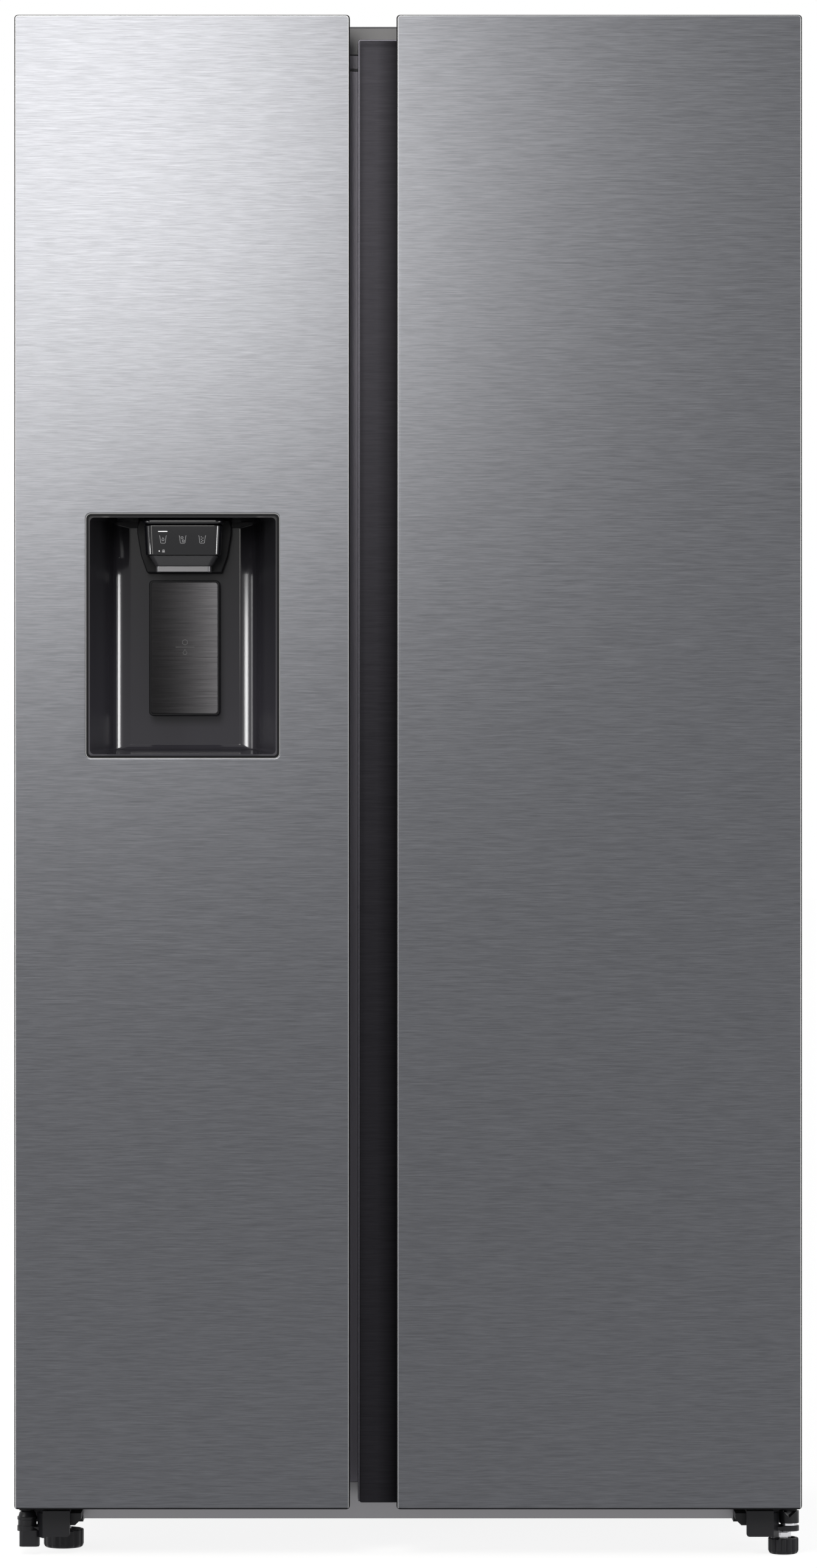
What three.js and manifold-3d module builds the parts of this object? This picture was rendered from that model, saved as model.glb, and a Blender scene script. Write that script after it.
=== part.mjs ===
// Side by side refrigerator: a freezer on the left with an ice and water dispenser in its door,
// a fridge on the right, and pocket grips in the gap between the two doors.
// Millimetres, +Z up, +X to the right of someone facing the doors, which look along -Y.
// The origin is on the floor under the middle of the overall box.
import * as THREE from "three";
import { mergeVertices } from "three/addons/utils/BufferGeometryUtils.js";
import Module from "manifold-3d";

const wasm = await Module();
wasm.setup();

// ---------------------------------------------------------------- driving dimensions
const WIDTH = 912; // over the doors
const HEIGHT = 1788; // floor to the top of the doors, with the feet unscrewed by 8
const DEPTH = 716; // door faces to the wall spacers
const DOOR_ZONE = 106; // door thickness with its gasket
const GAP = 0.3; // between pieces that touch
const SHEET = 1.2; // cabinet sheet steel

const HALF = WIDTH / 2;
const FRONT = -DEPTH / 2;
const BACK = DEPTH / 2;

const CASE = { half: 453.5, bottom: 36, top: 1753, front: FRONT + DOOR_ZONE, back: BACK - 6 };
const RAIL_TOP = 79; // top edge of the bottom front rail
const HEAD_FLANGE = 18.5; // height of the front flange over the doors' openings
const SIDE_FLANGE = 33; // width of the front flange the gaskets close on
const MACHINE = { front: 130, top: 242 }; // compartment for the compressor, behind and below
const STEP_COVER = 45; // foam over the machine compartment

const ROOM = { floor: 102, ceiling: 1702, back: 300, wall: 2.5 };
const FREEZER = { x0: -406, x1: -97 };
const FRIDGE = { x0: -27, x1: 406 };
const MULLION = { x0: -92, x1: -32, top: CASE.top - HEAD_FLANGE - GAP };

const LEFT_DOOR = { x0: -HALF, x1: -67.5, bodyX0: -HALF, bodyX1: -72 };
const RIGHT_DOOR = { x0: -13.5, x1: HALF, bodyX0: -57, bodyX1: HALF };
const SLAB = { bottom: 58.7, top: HEIGHT, back: FRONT + 22 }; // the door's front panel
const POCKET = { reach: 28, back: FRONT + 45 }; // finger pocket behind the panel's edge
const BODY = { bottom: 62, top: 1763, back: FRONT + 93.7 }; // the door behind the pocket
const SKIN = { inset: 0.9, sheet: 1.2, fold: 5, round: 2 };
const CORNER = 4;

const LINER_BACK = FRONT + 96; // the gasket side of the door
const DYKE = { back: -217, side: 20, top: 1696, bottom: 108 }; // ridge inside the gasket
const LEFT_DYKE = { x0: -398, x1: -106 };
const RIGHT_DYKE = { x0: -20, x1: 396 };
const BIN_BACK = -189; // how far the door bins reach into the room
const SHELF_FRONT = -177;

const GASKET = { bottom: 85, top: 1729, foot: 13, magnet: 8 };

const HINGE = { x: 444, y: -302, pin: 6, eye: 11.8, eyeBottom: 28.2, eyeTop: 34.2, top: 51.5 };
const PLATE = { x0: 393.5, x1: 425, y: -322, bottom: 23, top: 53, thick: 3 };

const RECESS = { x: -260.8, half: 108, bottom: 930, top: 1208.5, back: -281, wall: 2.4 };
const HOOD = { half: 46, taper: 2, front: -350, bottom: 1163, top: RECESS.top - RECESS.wall - GAP };
const DUCT = { half: 28, y0: -330, y1: -294 };
const PADDLE = { half: 40.2, bottom: 977.5, top: 1135.3, front: -304, thick: 7, pivotZ: 1129, pivotY: -293 };
const FLAP = { pivotY: -297.5, pivotZ: 1197, thick: 2.4 };

const ICE = { x0: -376, x1: -128, y0: LINER_BACK + GAP, y1: -192, bucketBottom: 1301, bucketTop: 1478 };
const AUGER = { y: -225, z: 1335, r: 26, shaft: 5, pitch: 46, turns: 2.1, thick: 3 };
const TRAY = { x0: -334, x1: -145, y: -227, z: 1570, width: 48, height: 24, cups: 6 };
const ICE_MAKER = { bottom: 1513, top: 1648 };

const FREEZER_SHELVES = [508, 828, 1208];
const FRIDGE_SHELVES = [508, 778, 1058, 1348];
const SHELF_BACK = { freezer: 228, fridge: 262 };
const DRAWERS = [
  { name: "lower", z0: 112, z1: 290, back: 78 },
  { name: "upper", z0: 308, z1: 486, back: 215 },
];
const FREEZER_BINS = [142, 430, 770];
const FRIDGE_BINS = [142, 470, 840, 1250];
const BIN_HEIGHT = 105;

const FOOT_STEM = 5;
const FEET = {
  left: { x: -405.7, y: -228, r: 23.6, top: 21.3, nut: { r: 9, top: 24 }, stemTop: 35 },
  right: { x: 438.2, y: -290, r: 17.8, top: 18.7, nut: { r: 9.2, top: 25.6 }, stemTop: 33 },
};
const DUCT_FRONT = 236; // face of the freezer's duct cover
const EVAPORATOR_FAN = { x: -251.5, y: 266, z: 598, r: 46, hub: 17, depth: 11 };
const CONDENSER_FAN = { x: -95, y: 240, z: 137, r: 66, hub: 20, depth: 12 };
const SHAFT = 2.6; // radius of both fan shafts

const ROLLER = { x: 405, y: 315, r: 20, width: 22, axle: 4 };

// ---------------------------------------------------------------- finishes
const finish = (color, roughness, metalness = 0, more = {}) =>
  new THREE.MeshStandardMaterial({ color, roughness, metalness, ...more });
const clear = { transparent: true, opacity: 0.45 };
const FINISH = {
  brushed: finish(0x8f9196, 0.35, 1),
  darkBrushed: finish(0x4a4a4f, 0.4, 1),
  painted: finish(0x6c6c70, 0.5, 0.2),
  galvanised: finish(0x9a9c9e, 0.45, 0.9),
  black: finish(0x1b1b1e, 0.35),
  blackSteel: finish(0x2b2b2e, 0.5, 0.3),
  white: finish(0xf0f1f2, 0.35),
  foam: finish(0xe8dcb0, 0.9),
  rubber: finish(0x8b8c8f, 0.7),
  glass: finish(0xdfeeee, 0.05, 0, clear),
  clear: finish(0xe6edf0, 0.15, 0, clear),
  aluminium: finish(0xc3c5c8, 0.4, 1),
  fan: finish(0x2d2f33, 0.5),
};

// ---------------------------------------------------------------- solids
// A closed three.js geometry as a manifold-3d solid.
function solid(geometry) {
  const loose = geometry.index ? geometry.toNonIndexed() : geometry;
  const bare = new THREE.BufferGeometry();
  bare.setAttribute("position", loose.getAttribute("position"));
  const merged = mergeVertices(bare, 1e-3);
  const mesh = new wasm.Mesh({
    numProp: 3,
    vertProperties: merged.attributes.position.array,
    triVerts: new Uint32Array(merged.index.array),
  });
  return new wasm.Manifold(mesh);
}

function geometryOf(manifold) {
  const { vertProperties, triVerts } = manifold.getMesh();
  const geometry = new THREE.BufferGeometry();
  geometry.setAttribute("position", new THREE.BufferAttribute(vertProperties, 3));
  geometry.setIndex(new THREE.BufferAttribute(triVerts, 1));
  geometry.computeVertexNormals();
  return geometry;
}

const join = (...parts) => parts.flat().reduce((whole, part) => whole.add(part));
const cut = (base, ...tools) => tools.flat().reduce((left, tool) => left.subtract(tool), base);
const common = (a, b) => a.intersect(b);

function block(x0, x1, y0, y1, z0, z1) {
  const box = new THREE.BoxGeometry(x1 - x0, y1 - y0, z1 - z0);
  return solid(box.translate((x0 + x1) / 2, (y0 + y1) / 2, (z0 + z1) / 2));
}

// A shape drawn in one plane and extruded along the third axis.
const axis = { x: new THREE.Vector3(1, 0, 0), y: new THREE.Vector3(0, 1, 0), z: new THREE.Vector3(0, 0, 1) };
const PLANE = {
  xy: new THREE.Matrix4(),
  xz: new THREE.Matrix4().makeBasis(axis.x, axis.z, axis.y.clone().negate()),
  yz: new THREE.Matrix4().makeBasis(axis.y, axis.z, axis.x),
};

function extrude(shape, plane, from, to, { round = 0, steps = 2, curve = 2 } = {}) {
  const geometry = new THREE.ExtrudeGeometry(shape, {
    depth: to - from - 2 * round,
    bevelEnabled: round > 0,
    bevelThickness: round,
    bevelSize: round,
    bevelOffset: -round,
    bevelSegments: steps,
    curveSegments: curve,
  });
  geometry.translate(0, 0, round);
  geometry.applyMatrix4(PLANE[plane]);
  const start = plane === "xz" ? [0, to, 0] : plane === "yz" ? [from, 0, 0] : [0, 0, from];
  return solid(geometry.translate(...start));
}

function roundRect(x0, x1, y0, y1, r) {
  const shape = new THREE.Shape();
  shape.absarc(x1 - r, y1 - r, r, 0, Math.PI / 2);
  shape.absarc(x0 + r, y1 - r, r, Math.PI / 2, Math.PI);
  shape.absarc(x0 + r, y0 + r, r, Math.PI, 1.5 * Math.PI);
  shape.absarc(x1 - r, y0 + r, r, 1.5 * Math.PI, 2 * Math.PI);
  shape.closePath();
  return shape;
}

const polygon = (...points) => new THREE.Shape(points.map(([x, y]) => new THREE.Vector2(x, y)));

// A round bar between two heights on an axis through (a, b) of the other two coordinates.
function bar(direction, a, b, r, from, to, sides = 16, turn = 0) {
  const geometry = new THREE.CylinderGeometry(r, r, to - from, sides);
  geometry.rotateY(turn).translate(0, (from + to) / 2, 0);
  if (direction === "x") geometry.rotateZ(-Math.PI / 2).translate(0, a, b);
  if (direction === "y") geometry.translate(a, 0, b);
  if (direction === "z") geometry.rotateX(Math.PI / 2).translate(a, b, 0);
  return solid(geometry);
}

// A turned body about a vertical axis at (x, y); the profile is [radius, z] from the bottom up.
function turned(profile, x, y, sides = 14) {
  const closed = [[0, profile[0][1]], ...profile, [0, profile[profile.length - 1][1]]];
  const points = closed.map(([r, z]) => new THREE.Vector2(r, z));
  const geometry = new THREE.LatheGeometry(points, sides);
  return solid(geometry.rotateX(Math.PI / 2).translate(x, y, 0));
}

// A closed strip through a list of rings, each with the same number of corners.
function loft(rings) {
  const sides = rings[0].length;
  const corners = rings.flat();
  const faces = [];
  for (let i = 0; i + 1 < rings.length; i++)
    for (let k = 0; k < sides; k++) {
      const [a, b] = [i * sides + k, i * sides + ((k + 1) % sides)];
      faces.push(a, b, b + sides, a, b + sides, a + sides);
    }
  const last = (rings.length - 1) * sides;
  for (let k = 1; k + 1 < sides; k++) {
    faces.push(0, k + 1, k);
    faces.push(last, last + k, last + k + 1);
  }
  const geometry = new THREE.BufferGeometry();
  const flat = new Float32Array(corners.flatMap((p) => [p.x, p.y, p.z]));
  geometry.setAttribute("position", new THREE.BufferAttribute(flat, 3));
  geometry.setIndex(faces);
  return solid(geometry);
}

// The same solid with its faces pointing out, whichever way the rings ran.
function outward(make, flip) {
  return make(flip).volume() > 0 ? make(flip) : make(!flip);
}

const refrigerator = new THREE.Group();
function piece(name, manifold, material, group = refrigerator) {
  const mesh = new THREE.Mesh(geometryOf(manifold), material);
  mesh.name = name;
  group.add(mesh);
  return mesh;
}

// ---------------------------------------------------------------- cabinet
function caseWrap() {
  const { half, bottom, top, front, back } = CASE;
  const outline = polygon(
    [-half, bottom], [half, bottom], [half, top - CORNER], [half - CORNER, top],
    [CORNER - half, top], [-half, top - CORNER],
  );
  const inside = half - SHEET;
  const shell = cut(
    extrude(outline, "xz", front, back),
    block(-inside, inside, front + SHEET, back + 1, bottom - 1, top - SHEET),
  );
  const opening = half - SIDE_FLANGE;
  return cut(shell, block(-opening, opening, front - 1, front + 2, bottom - 1, top - HEAD_FLANGE));
}

function backPanel() {
  const x = CASE.half - SHEET - GAP;
  const z0 = MACHINE.top + GAP;
  const sheet = block(-x, x, CASE.back - 1, CASE.back, z0, CASE.top - SHEET - GAP);
  const beads = [-300, -150, 0, 150, 300].map((at) =>
    extrude(roundRect(at - 9, at + 9, 420, 1500, 8), "xz", CASE.back - 0.5, CASE.back + 3, { curve: 1 }),
  );
  const spacers = [-380, 380].map((at) =>
    extrude(roundRect(at - 22, at + 22, 1580, 1650, 10), "xz", CASE.back - 0.5, BACK, { curve: 1 }),
  );
  return join(sheet, beads, spacers);
}

// The rooms' inside in side view, grown by a wall where one is asked for.
function roomSide(grow) {
  const stepFront = MACHINE.front - STEP_COVER;
  const stepTop = MACHINE.top + STEP_COVER;
  const mouth = CASE.front - 1;
  return polygon(
    [mouth, ROOM.floor - grow], [stepFront + grow, ROOM.floor - grow],
    [stepFront + grow, stepTop - grow], [ROOM.back + grow, stepTop - grow],
    [ROOM.back + grow, ROOM.ceiling + grow], [mouth, ROOM.ceiling + grow],
  );
}
const roomHollow = (room, grow) => extrude(roomSide(grow), "yz", room.x0 - grow, room.x1 + grow);

function insulation() {
  const x = CASE.half - SHEET - GAP;
  const front = CASE.front + 2 + GAP;
  const whole = block(-x, x, front, CASE.back - 1 - GAP, CASE.bottom + 2 + GAP, CASE.top - SHEET - GAP);
  const grow = ROOM.wall + GAP;
  return cut(
    whole,
    roomHollow(FREEZER, grow),
    roomHollow(FRIDGE, grow),
    block(-HALF, HALF, MACHINE.front, BACK, 0, MACHINE.top),
  );
}

// Shelf and drawer supports moulded in the side walls, one pair for each height.
function supports(room, heights, y1) {
  return heights.flatMap((z) => [
    block(room.x0 - 1, room.x0 + 9, SHELF_FRONT + 12, y1, z - 8, z - GAP),
    block(room.x1 - 9, room.x1 + 1, SHELF_FRONT + 12, y1, z - 8, z - GAP),
  ]);
}

function liner(room, lip, shelves, shelfBack) {
  const bottom = RAIL_TOP + GAP;
  const top = CASE.top - HEAD_FLANGE - GAP;
  const face = block(lip.x0, lip.x1, CASE.front, CASE.front + 2, bottom, top);
  const tub = common(
    roomHollow(room, ROOM.wall),
    block(-HALF, HALF, CASE.front, BACK, 0, HEIGHT),
  );
  const ribs = supports(room, shelves, shelfBack);
  const rails = DRAWERS.flatMap(({ z1, back }) => supports(room, [z1 - 6], Math.min(back, 80)));
  return join(cut(join(face, tub), roomHollow(room, 0)), ribs, rails);
}

function mullionCover() {
  const { x0, x1, top } = MULLION;
  return extrude(roundRect(x0, x1, RAIL_TOP + GAP, top, 1.5), "xz", CASE.front, CASE.front + 2);
}

// The cover along the top front edge, which hides the hinges and the door's wiring.
function topFrontCover() {
  const z0 = CASE.top + GAP;
  const half = CASE.half;
  const rear = CASE.front + 118;
  const side = polygon(
    [CASE.front, z0], [rear, z0], [rear, z0 + 12], [rear - 26, HEIGHT - 1],
    [CASE.front + 2, HEIGHT - 1], [CASE.front, HEIGHT - 3],
  );
  const hollow = polygon(
    [CASE.front + 2.5, z0 - 1], [rear - 3, z0 - 1], [rear - 3, z0 + 10.5],
    [rear - 27.5, HEIGHT - 3.5], [CASE.front + 2.5, HEIGHT - 3.5],
  );
  const notch = (x0, x1) => block(x0, x1, CASE.front - 1, CASE.front + 4, z0 - 1, z0 + 17);
  return cut(
    extrude(side, "yz", -half, half),
    extrude(hollow, "yz", 2.5 - half, half - 2.5),
    notch(-half - 1, -400),
    notch(400, half + 1),
  );
}

// Bottom chassis: front rail, floor of the machine compartment, and ears for the rear rollers.
function baseFrame() {
  const { half, bottom, front, back } = CASE;
  const x = half - SHEET - GAP;
  const inner = half - SIDE_FLANGE - GAP;
  const flat = block(-x, x, front + SHEET + GAP, back - GAP, bottom, bottom + 2);
  const rail = block(-inner, inner, front, front + 2, bottom, RAIL_TOP);
  const ears = [-1, 1].flatMap((s) =>
    [-1, 1].map((e) => {
      const at = s * ROLLER.x + e * (ROLLER.width / 2 + 3.5);
      const ear = polygon(
        [ROLLER.y - 24, bottom + 1], [ROLLER.y - 9, 10], [ROLLER.y + 9, 10], [ROLLER.y + 24, bottom + 1],
      );
      return extrude(ear, "yz", at - 1.5, at + 1.5);
    }),
  );
  const { y, r, width, axle } = ROLLER;
  const wells = [-1, 1].map((s) => {
    const at = s * ROLLER.x;
    return block(at - width / 2 - 1.5, at + width / 2 + 1.5, y - r - 3, y + r + 3, bottom - 1, bottom + 3);
  });
  const bores = [-1, 1].map((s) => bar("x", y, r, axle + GAP, s * ROLLER.x - 20, s * ROLLER.x + 20, 12));
  return cut(join(flat, rail, ears), wells, bores);
}

// ---------------------------------------------------------------- cold circuit
// A finned coil: a core block scored by fins front and back, with return bends at both ends.
function finnedCoil({ x0, x1, y0, y1, z0, z1, fins, rows, tube }) {
  const pitch = (x1 - x0) / fins;
  const slots = [];
  for (let i = 0; i < fins; i++) {
    const at = x0 + (i + 0.5) * pitch;
    for (const [a, b] of [[y0 - 1, y0 + 11], [y1 - 11, y1 + 1]])
      slots.push(block(at - pitch * 0.32, at + pitch * 0.32, a, b, z0 - 1, z1 + 1));
  }
  const step = (z1 - z0) / rows;
  const y = (y0 + y1) / 2;
  const bends = [];
  for (let k = 0; k + 1 < rows; k++) {
    const z = z0 + (k + 0.5) * step;
    const end = k % 2 ? x0 : x1;
    const outline = roundRect(end - 14, end + 14, z - tube, z + step + tube, 12);
    const loop = extrude(outline, "xz", y - tube, y + tube, { curve: 1 });
    bends.push(cut(loop, block(end - 15, end + 14 - 2 * tube, y - 20, y + 20, z + tube, z + step - tube)));
  }
  return join(cut(block(x0, x1, y0, y1, z0, z1), slots), bends);
}

function evaporator() {
  return finnedCoil({
    x0: -375, x1: -128, y0: 250, y1: 290, z0: 318, z1: 528, fins: 8, rows: 4, tube: 4,
  });
}

// A fan rotor on the Y axis at the origin: a hub with a shaft bore and swept, twisted blades.
function fanRotor({ r: radius, hub, depth }, blades = 5) {
  const blade = (start) => {
    const rings = [];
    const steps = 2;
    for (let i = 0; i <= steps; i++) {
      const r = hub - 2 + ((radius - hub + 2) * i) / steps;
      const pitch = THREE.MathUtils.degToRad(50 - (24 * i) / steps);
      const half = depth * (0.62 + (0.3 * i) / steps);
      const lean = start + 0.25 * (i / steps) ** 2;
      const ring = [];
      for (const [u, w] of [[-1, -0.9], [1, -0.9], [1, 0.9], [-1, 0.9]]) {
        const along = u * half * Math.cos(pitch) - w * Math.sin(pitch);
        const deep = u * half * Math.sin(pitch) + w * Math.cos(pitch);
        const angle = lean + along / r;
        ring.push(new THREE.Vector3(r * Math.cos(angle), deep, r * Math.sin(angle)));
      }
      rings.push(ring);
    }
    return outward((flip) => loft(flip ? rings.map((ring) => [...ring].reverse()) : rings), false);
  };
  const core = bar("y", 0, 0, hub, -depth * 0.75, depth * 0.75);
  const set = [];
  for (let i = 0; i < blades; i++) set.push(blade((i * 2 * Math.PI) / blades));
  return cut(join(core, set), bar("y", 0, 0, SHAFT + GAP, -depth, depth * 0.4, 10));
}

// ---------------------------------------------------------------- machine compartment
const FLOOR_TOP = CASE.bottom + 2 + GAP;

function compressor() {
  const [x, y] = [255, 240];
  const can = turned(
    [
      [60, 58], [72, 66], [78, 84], [78, 130], [81, 131],
      [81, 135], [76, 162], [64, 190], [38, 205], [12, 209],
    ],
    x, y, 14,
  );
  const foot = extrude(roundRect(x - 95, x + 95, y - 72, y + 72, 18), "xy", 52, 59, { curve: 1 });
  const grommets = [-80, 80].flatMap((dx) =>
    [-56, 56].map((dy) => turned([[11, FLOOR_TOP], [11, 41], [7, 43], [7, 54]], x + dx, y + dy, 6)),
  );
  const terminal = extrude(roundRect(y - 30, y + 30, 95, 150, 6), "yz", x + 70, x + 104, { curve: 1 });
  const stubs = [[-50, 40], [-58, -30]].map(([dx, dy]) => bar("z", x + dx, y + dy, 5, 140, 214, 8));
  return join(can, foot, grommets, terminal, stubs);
}

// Condenser coil with the shroud, motor and shaft of its fan.
function condenser() {
  const { x, y, z, r } = CONDENSER_FAN;
  const [near, far] = [y - 82, y + 82];
  const coil = finnedCoil({
    x0: -375, x1: -165, y0: 165, y1: 320, z0: 62, z1: 212, fins: 6, rows: 4, tube: 5,
  });
  const hoop = cut(block(x - 22, x + 14, near, far, 56, 220), bar("x", y, z, r + 8, x - 30, x + 30, 20));
  const arm = block(x + 12, x + 26, near + 2, far - 2, z - 5, z + 5);
  const clearance = bar("x", y, z, r + 5, x - 18, x + 18.5, 20);
  const bridges = [near + 4, far - 16].map((at) => block(-170, x - 20, at, at + 12, 60, 72));
  const feet = [-372, -290, x - 20].map((at) => block(at, at + 14, y - 60, y + 60, FLOOR_TOP, 64));
  const motor = bar("x", y, z, 24, x + 19, x + 52);
  const shaft = bar("x", y, z, SHAFT, x, x + 20, 10);
  return join(coil, cut(join(hoop, arm), clearance), motor, shaft, bridges, feet);
}

function drainPan() {
  const [x0, x1, y0, y1] = [-20, 140, 165, 330];
  return cut(
    extrude(roundRect(x0, x1, y0, y1, 14), "xy", FLOOR_TOP, 66),
    extrude(roundRect(x0 + 2.5, x1 - 2.5, y0 + 2.5, y1 - 2.5, 12), "xy", FLOOR_TOP + 2.5, 67),
  );
}

// Rear cover of the machine compartment, with rows of louvre slots.
function machineCover() {
  const x = CASE.half - SHEET - GAP;
  const outline = roundRect(-x, x, CASE.bottom + 4, MACHINE.top - 2, 6);
  const plate = extrude(outline, "xz", CASE.back, CASE.back + 2, { curve: 1 });
  const slots = [];
  for (const side of [-1, 1])
    for (let row = 0; row < 5; row++)
      for (let i = 0; i < 2; i++) {
        const at = side * 225 + (i - 0.5) * 140;
        const z = 66 + row * 31;
        slots.push(block(at - 62, at + 62, CASE.back - 1, CASE.back + 3, z, z + 9));
      }
  return cut(plate, slots);
}

// ---------------------------------------------------------------- inside the rooms
// Cover over the evaporator, with the motor and shaft of its fan on the inner side.
function freezerDuctCover() {
  const [x0, x1] = [FREEZER.x0 + 1, FREEZER.x1 - 1];
  const [z0, z1] = [MACHINE.top + STEP_COVER + 1, ROOM.ceiling - 1];
  const shell = cut(
    block(x0, x1, DUCT_FRONT, ROOM.back - GAP, z0, z1),
    block(x0 + 2.5, x1 - 2.5, DUCT_FRONT + 2.5, ROOM.back + 1, z0 + 2.5, z1 - 2.5),
  );
  const slot = (z, half) => block(-251.5 - half, -251.5 + half, DUCT_FRONT - 1, DUCT_FRONT + 4, z, z + 9);
  const vents = [];
  for (const z of [...FREEZER_SHELVES, 1500]) vents.push(slot(z + 110, 90), slot(z + 130, 90));
  const returns = [320, 342, 364].map((z) => slot(z, 110));
  const fan = EVAPORATOR_FAN;
  const motor = bar("y", fan.x, fan.z, 18, DUCT_FRONT + 1, fan.y - fan.depth - 2);
  const shaft = bar("y", fan.x, fan.z, SHAFT, DUCT_FRONT + 1, fan.y, 10);
  return join(cut(shell, vents, returns), motor, shaft);
}

function fridgeDuctCover() {
  const centre = (FRIDGE.x0 + FRIDGE.x1) / 2;
  const [front, back] = [272, ROOM.back - GAP];
  const [half, bulge] = [120, 8];
  const outline = new THREE.Shape();
  outline.moveTo(centre - half, back);
  outline.lineTo(centre - half + 8, front + bulge);
  outline.quadraticCurveTo(centre, front - bulge, centre + half - 8, front + bulge);
  outline.lineTo(centre + half, back);
  outline.closePath();
  const body = extrude(outline, "xy", 520, ROOM.ceiling - 1, { curve: 6 });
  const hollow = block(centre - half + 14, centre + half - 14, front + 12, back + 1, 523, ROOM.ceiling - 4);
  const vents = [];
  for (const shelfZ of FRIDGE_SHELVES)
    for (const s of [-1, 1]) {
      const at = centre + s * 62;
      vents.push(block(at - 34, at + 34, front - 10, front + 14, shelfZ + 150, shelfZ + 164));
    }
  return cut(body, hollow, vents);
}

// A glass shelf with a trim bar along its front and rear edges.
function shelf(room, z, back) {
  const [x0, x1] = [room.x0 + 1.5, room.x1 - 1.5];
  const pane = block(x0, x1, SHELF_FRONT + 4, back - 2, z, z + 5);
  const trim = extrude(
    roundRect(SHELF_FRONT, SHELF_FRONT + 11, z - 7, z + 8, 3), "yz", x0, x1, { curve: 1 },
  );
  const ledge = block(x0, x1, back - 10, back, z, z + 14);
  return join(pane, trim, ledge);
}

// An open tub that hangs by its side flanges, with a finger scoop in a deeper front.
function drawer(room, { z0, z1, back }) {
  const [x0, x1] = [room.x0 + 14, room.x1 - 14];
  const front = SHELF_FRONT + 1;
  const tub = cut(
    extrude(roundRect(x0, x1, front, back, 10), "xy", z0, z1, { curve: 1 }),
    extrude(roundRect(x0 + 2.5, x1 - 2.5, front + 9, back - 2.5, 8), "xy", z0 + 2.5, z1 + 1, { curve: 1 }),
  );
  const flange = (a, b) => block(a, b, SHELF_FRONT + 14, back - 6, z1 - 6 + GAP, z1);
  const flanges = [flange(x0 - 10, x0 + 2.4), flange(x1 - 2.4, x1 + 10)];
  const mid = (x0 + x1) / 2;
  const half = (x1 - x0) * 0.3;
  const scoop = extrude(
    roundRect(z1 - 42, z1 - 16, mid - half, mid + half, 6), "xy", 0, 6.5, { round: 2, steps: 1, curve: 1 },
  );
  const turn = new THREE.Matrix4().makeBasis(axis.z, axis.x, axis.y).setPosition(0, front - 2, 0);
  return cut(join(tub, flanges), scoop.transform(turn.elements));
}

// A door bin: a tray with a bowed front that rests on lugs between the ridges.
function bin(dyke, z, depthTo = BIN_BACK) {
  const [x0, x1] = [dyke.x0 + DYKE.side + 1, dyke.x1 - DYKE.side - 1];
  const back = LINER_BACK + GAP;
  const outline = (inset) => {
    const [a, b] = [x0 + inset, x1 - inset];
    const [near, far, bow, r] = [back + inset, depthTo - inset, 9, 16];
    const shape = new THREE.Shape();
    shape.moveTo(a, near);
    shape.lineTo(b, near);
    shape.lineTo(b, far - bow - r);
    shape.quadraticCurveTo(b, far - bow, b - r, far - bow + 2);
    shape.quadraticCurveTo((a + b) / 2, far + bow - 2, a + r, far - bow + 2);
    shape.quadraticCurveTo(a, far - bow, a, far - bow - r);
    shape.closePath();
    return shape;
  };
  return cut(
    extrude(outline(0), "xy", z, z + BIN_HEIGHT, { curve: 3 }),
    extrude(outline(2.4), "xy", z + 2.4, z + BIN_HEIGHT + 1, { curve: 3 }),
  );
}

// ---------------------------------------------------------------- hinges, feet and rollers
// Lower hinge: a folded bracket in front of the case, with an eye, a collar and the door's pin.
function lowerHinge(side) {
  const { x0, x1, y, bottom, top, thick } = PLATE;
  const { x, eyeTop, eyeBottom } = HINGE;
  const wall = CASE.front - GAP;
  const [flare, tip] = [7, HINGE.y + 1]; // the side flange leans out and ends before the foot's nut
  const front = extrude(roundRect(x0, x1, bottom, top, 3.5), "xz", y, y + thick);
  const web = block(x0, x1, y, wall, top - thick, top);
  const flangePlan = polygon(
    [x1 - 2, y + 0.2], [x1, y + 0.2], [x1 + flare, y + 14], [x1 + flare, tip],
    [x1 + flare - thick, tip], [x1 + flare - thick, y + 15], [x1 - 2, y + 3],
  );
  const flange = extrude(flangePlan, "xy", bottom - 1.5, top - 3);
  const rear = block(x0 - 12, 440, wall - thick, wall, CASE.bottom - thick - GAP, top);
  const sole = CASE.bottom - GAP;
  const under = block(x0 - 12, x1 + thick, wall - thick, wall + 75, sole - thick, sole);
  const wedge = extrude(
    polygon([x0 + 1, 34], [x0 - 5, 34], [x0 - 12, 41], [x0 - 12, 48], [x0 + 1, 48]), "xz", HINGE.y, wall,
  );
  const eye = bar("z", x, HINGE.y, HINGE.eye, eyeBottom, eyeTop);
  const link = block(x1, x + 2, HINGE.y - 9, HINGE.y + 21, eyeBottom + 1, eyeTop - 1);
  const pin = bar("z", x, HINGE.y, HINGE.pin, HINGE.top - 2, BODY.bottom + 15, 12);
  return join(front, web, flange, rear, under, wedge, eye, link, pin, side < 0 ? domeCollar() : camCollar());
}

// Collar under the freezer door: a drum with a rim and a low dome.
const domeCollar = () =>
  turned(
    [[11, 33], [11, 41], [11.8, 41.3], [11.8, 44.6], [10.6, 45], [9.4, 49.5], [7, HINGE.top]],
    HINGE.x, HINGE.y,
  );

// Collar under the fridge door: a threaded neck and a cam with a V shaped edge.
function camCollar() {
  const cam = turned([[9.4, 33], [9.4, 37.2], [11.8, 37.4], [11.8, HINGE.top]], HINGE.x, HINGE.y);
  const groove = extrude(polygon([-9, HINGE.top + 1], [0, 44.5], [9, HINGE.top + 1]), "xz", -20, 20);
  return cut(cam, groove.translate([HINGE.x, HINGE.y, 0]));
}

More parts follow.
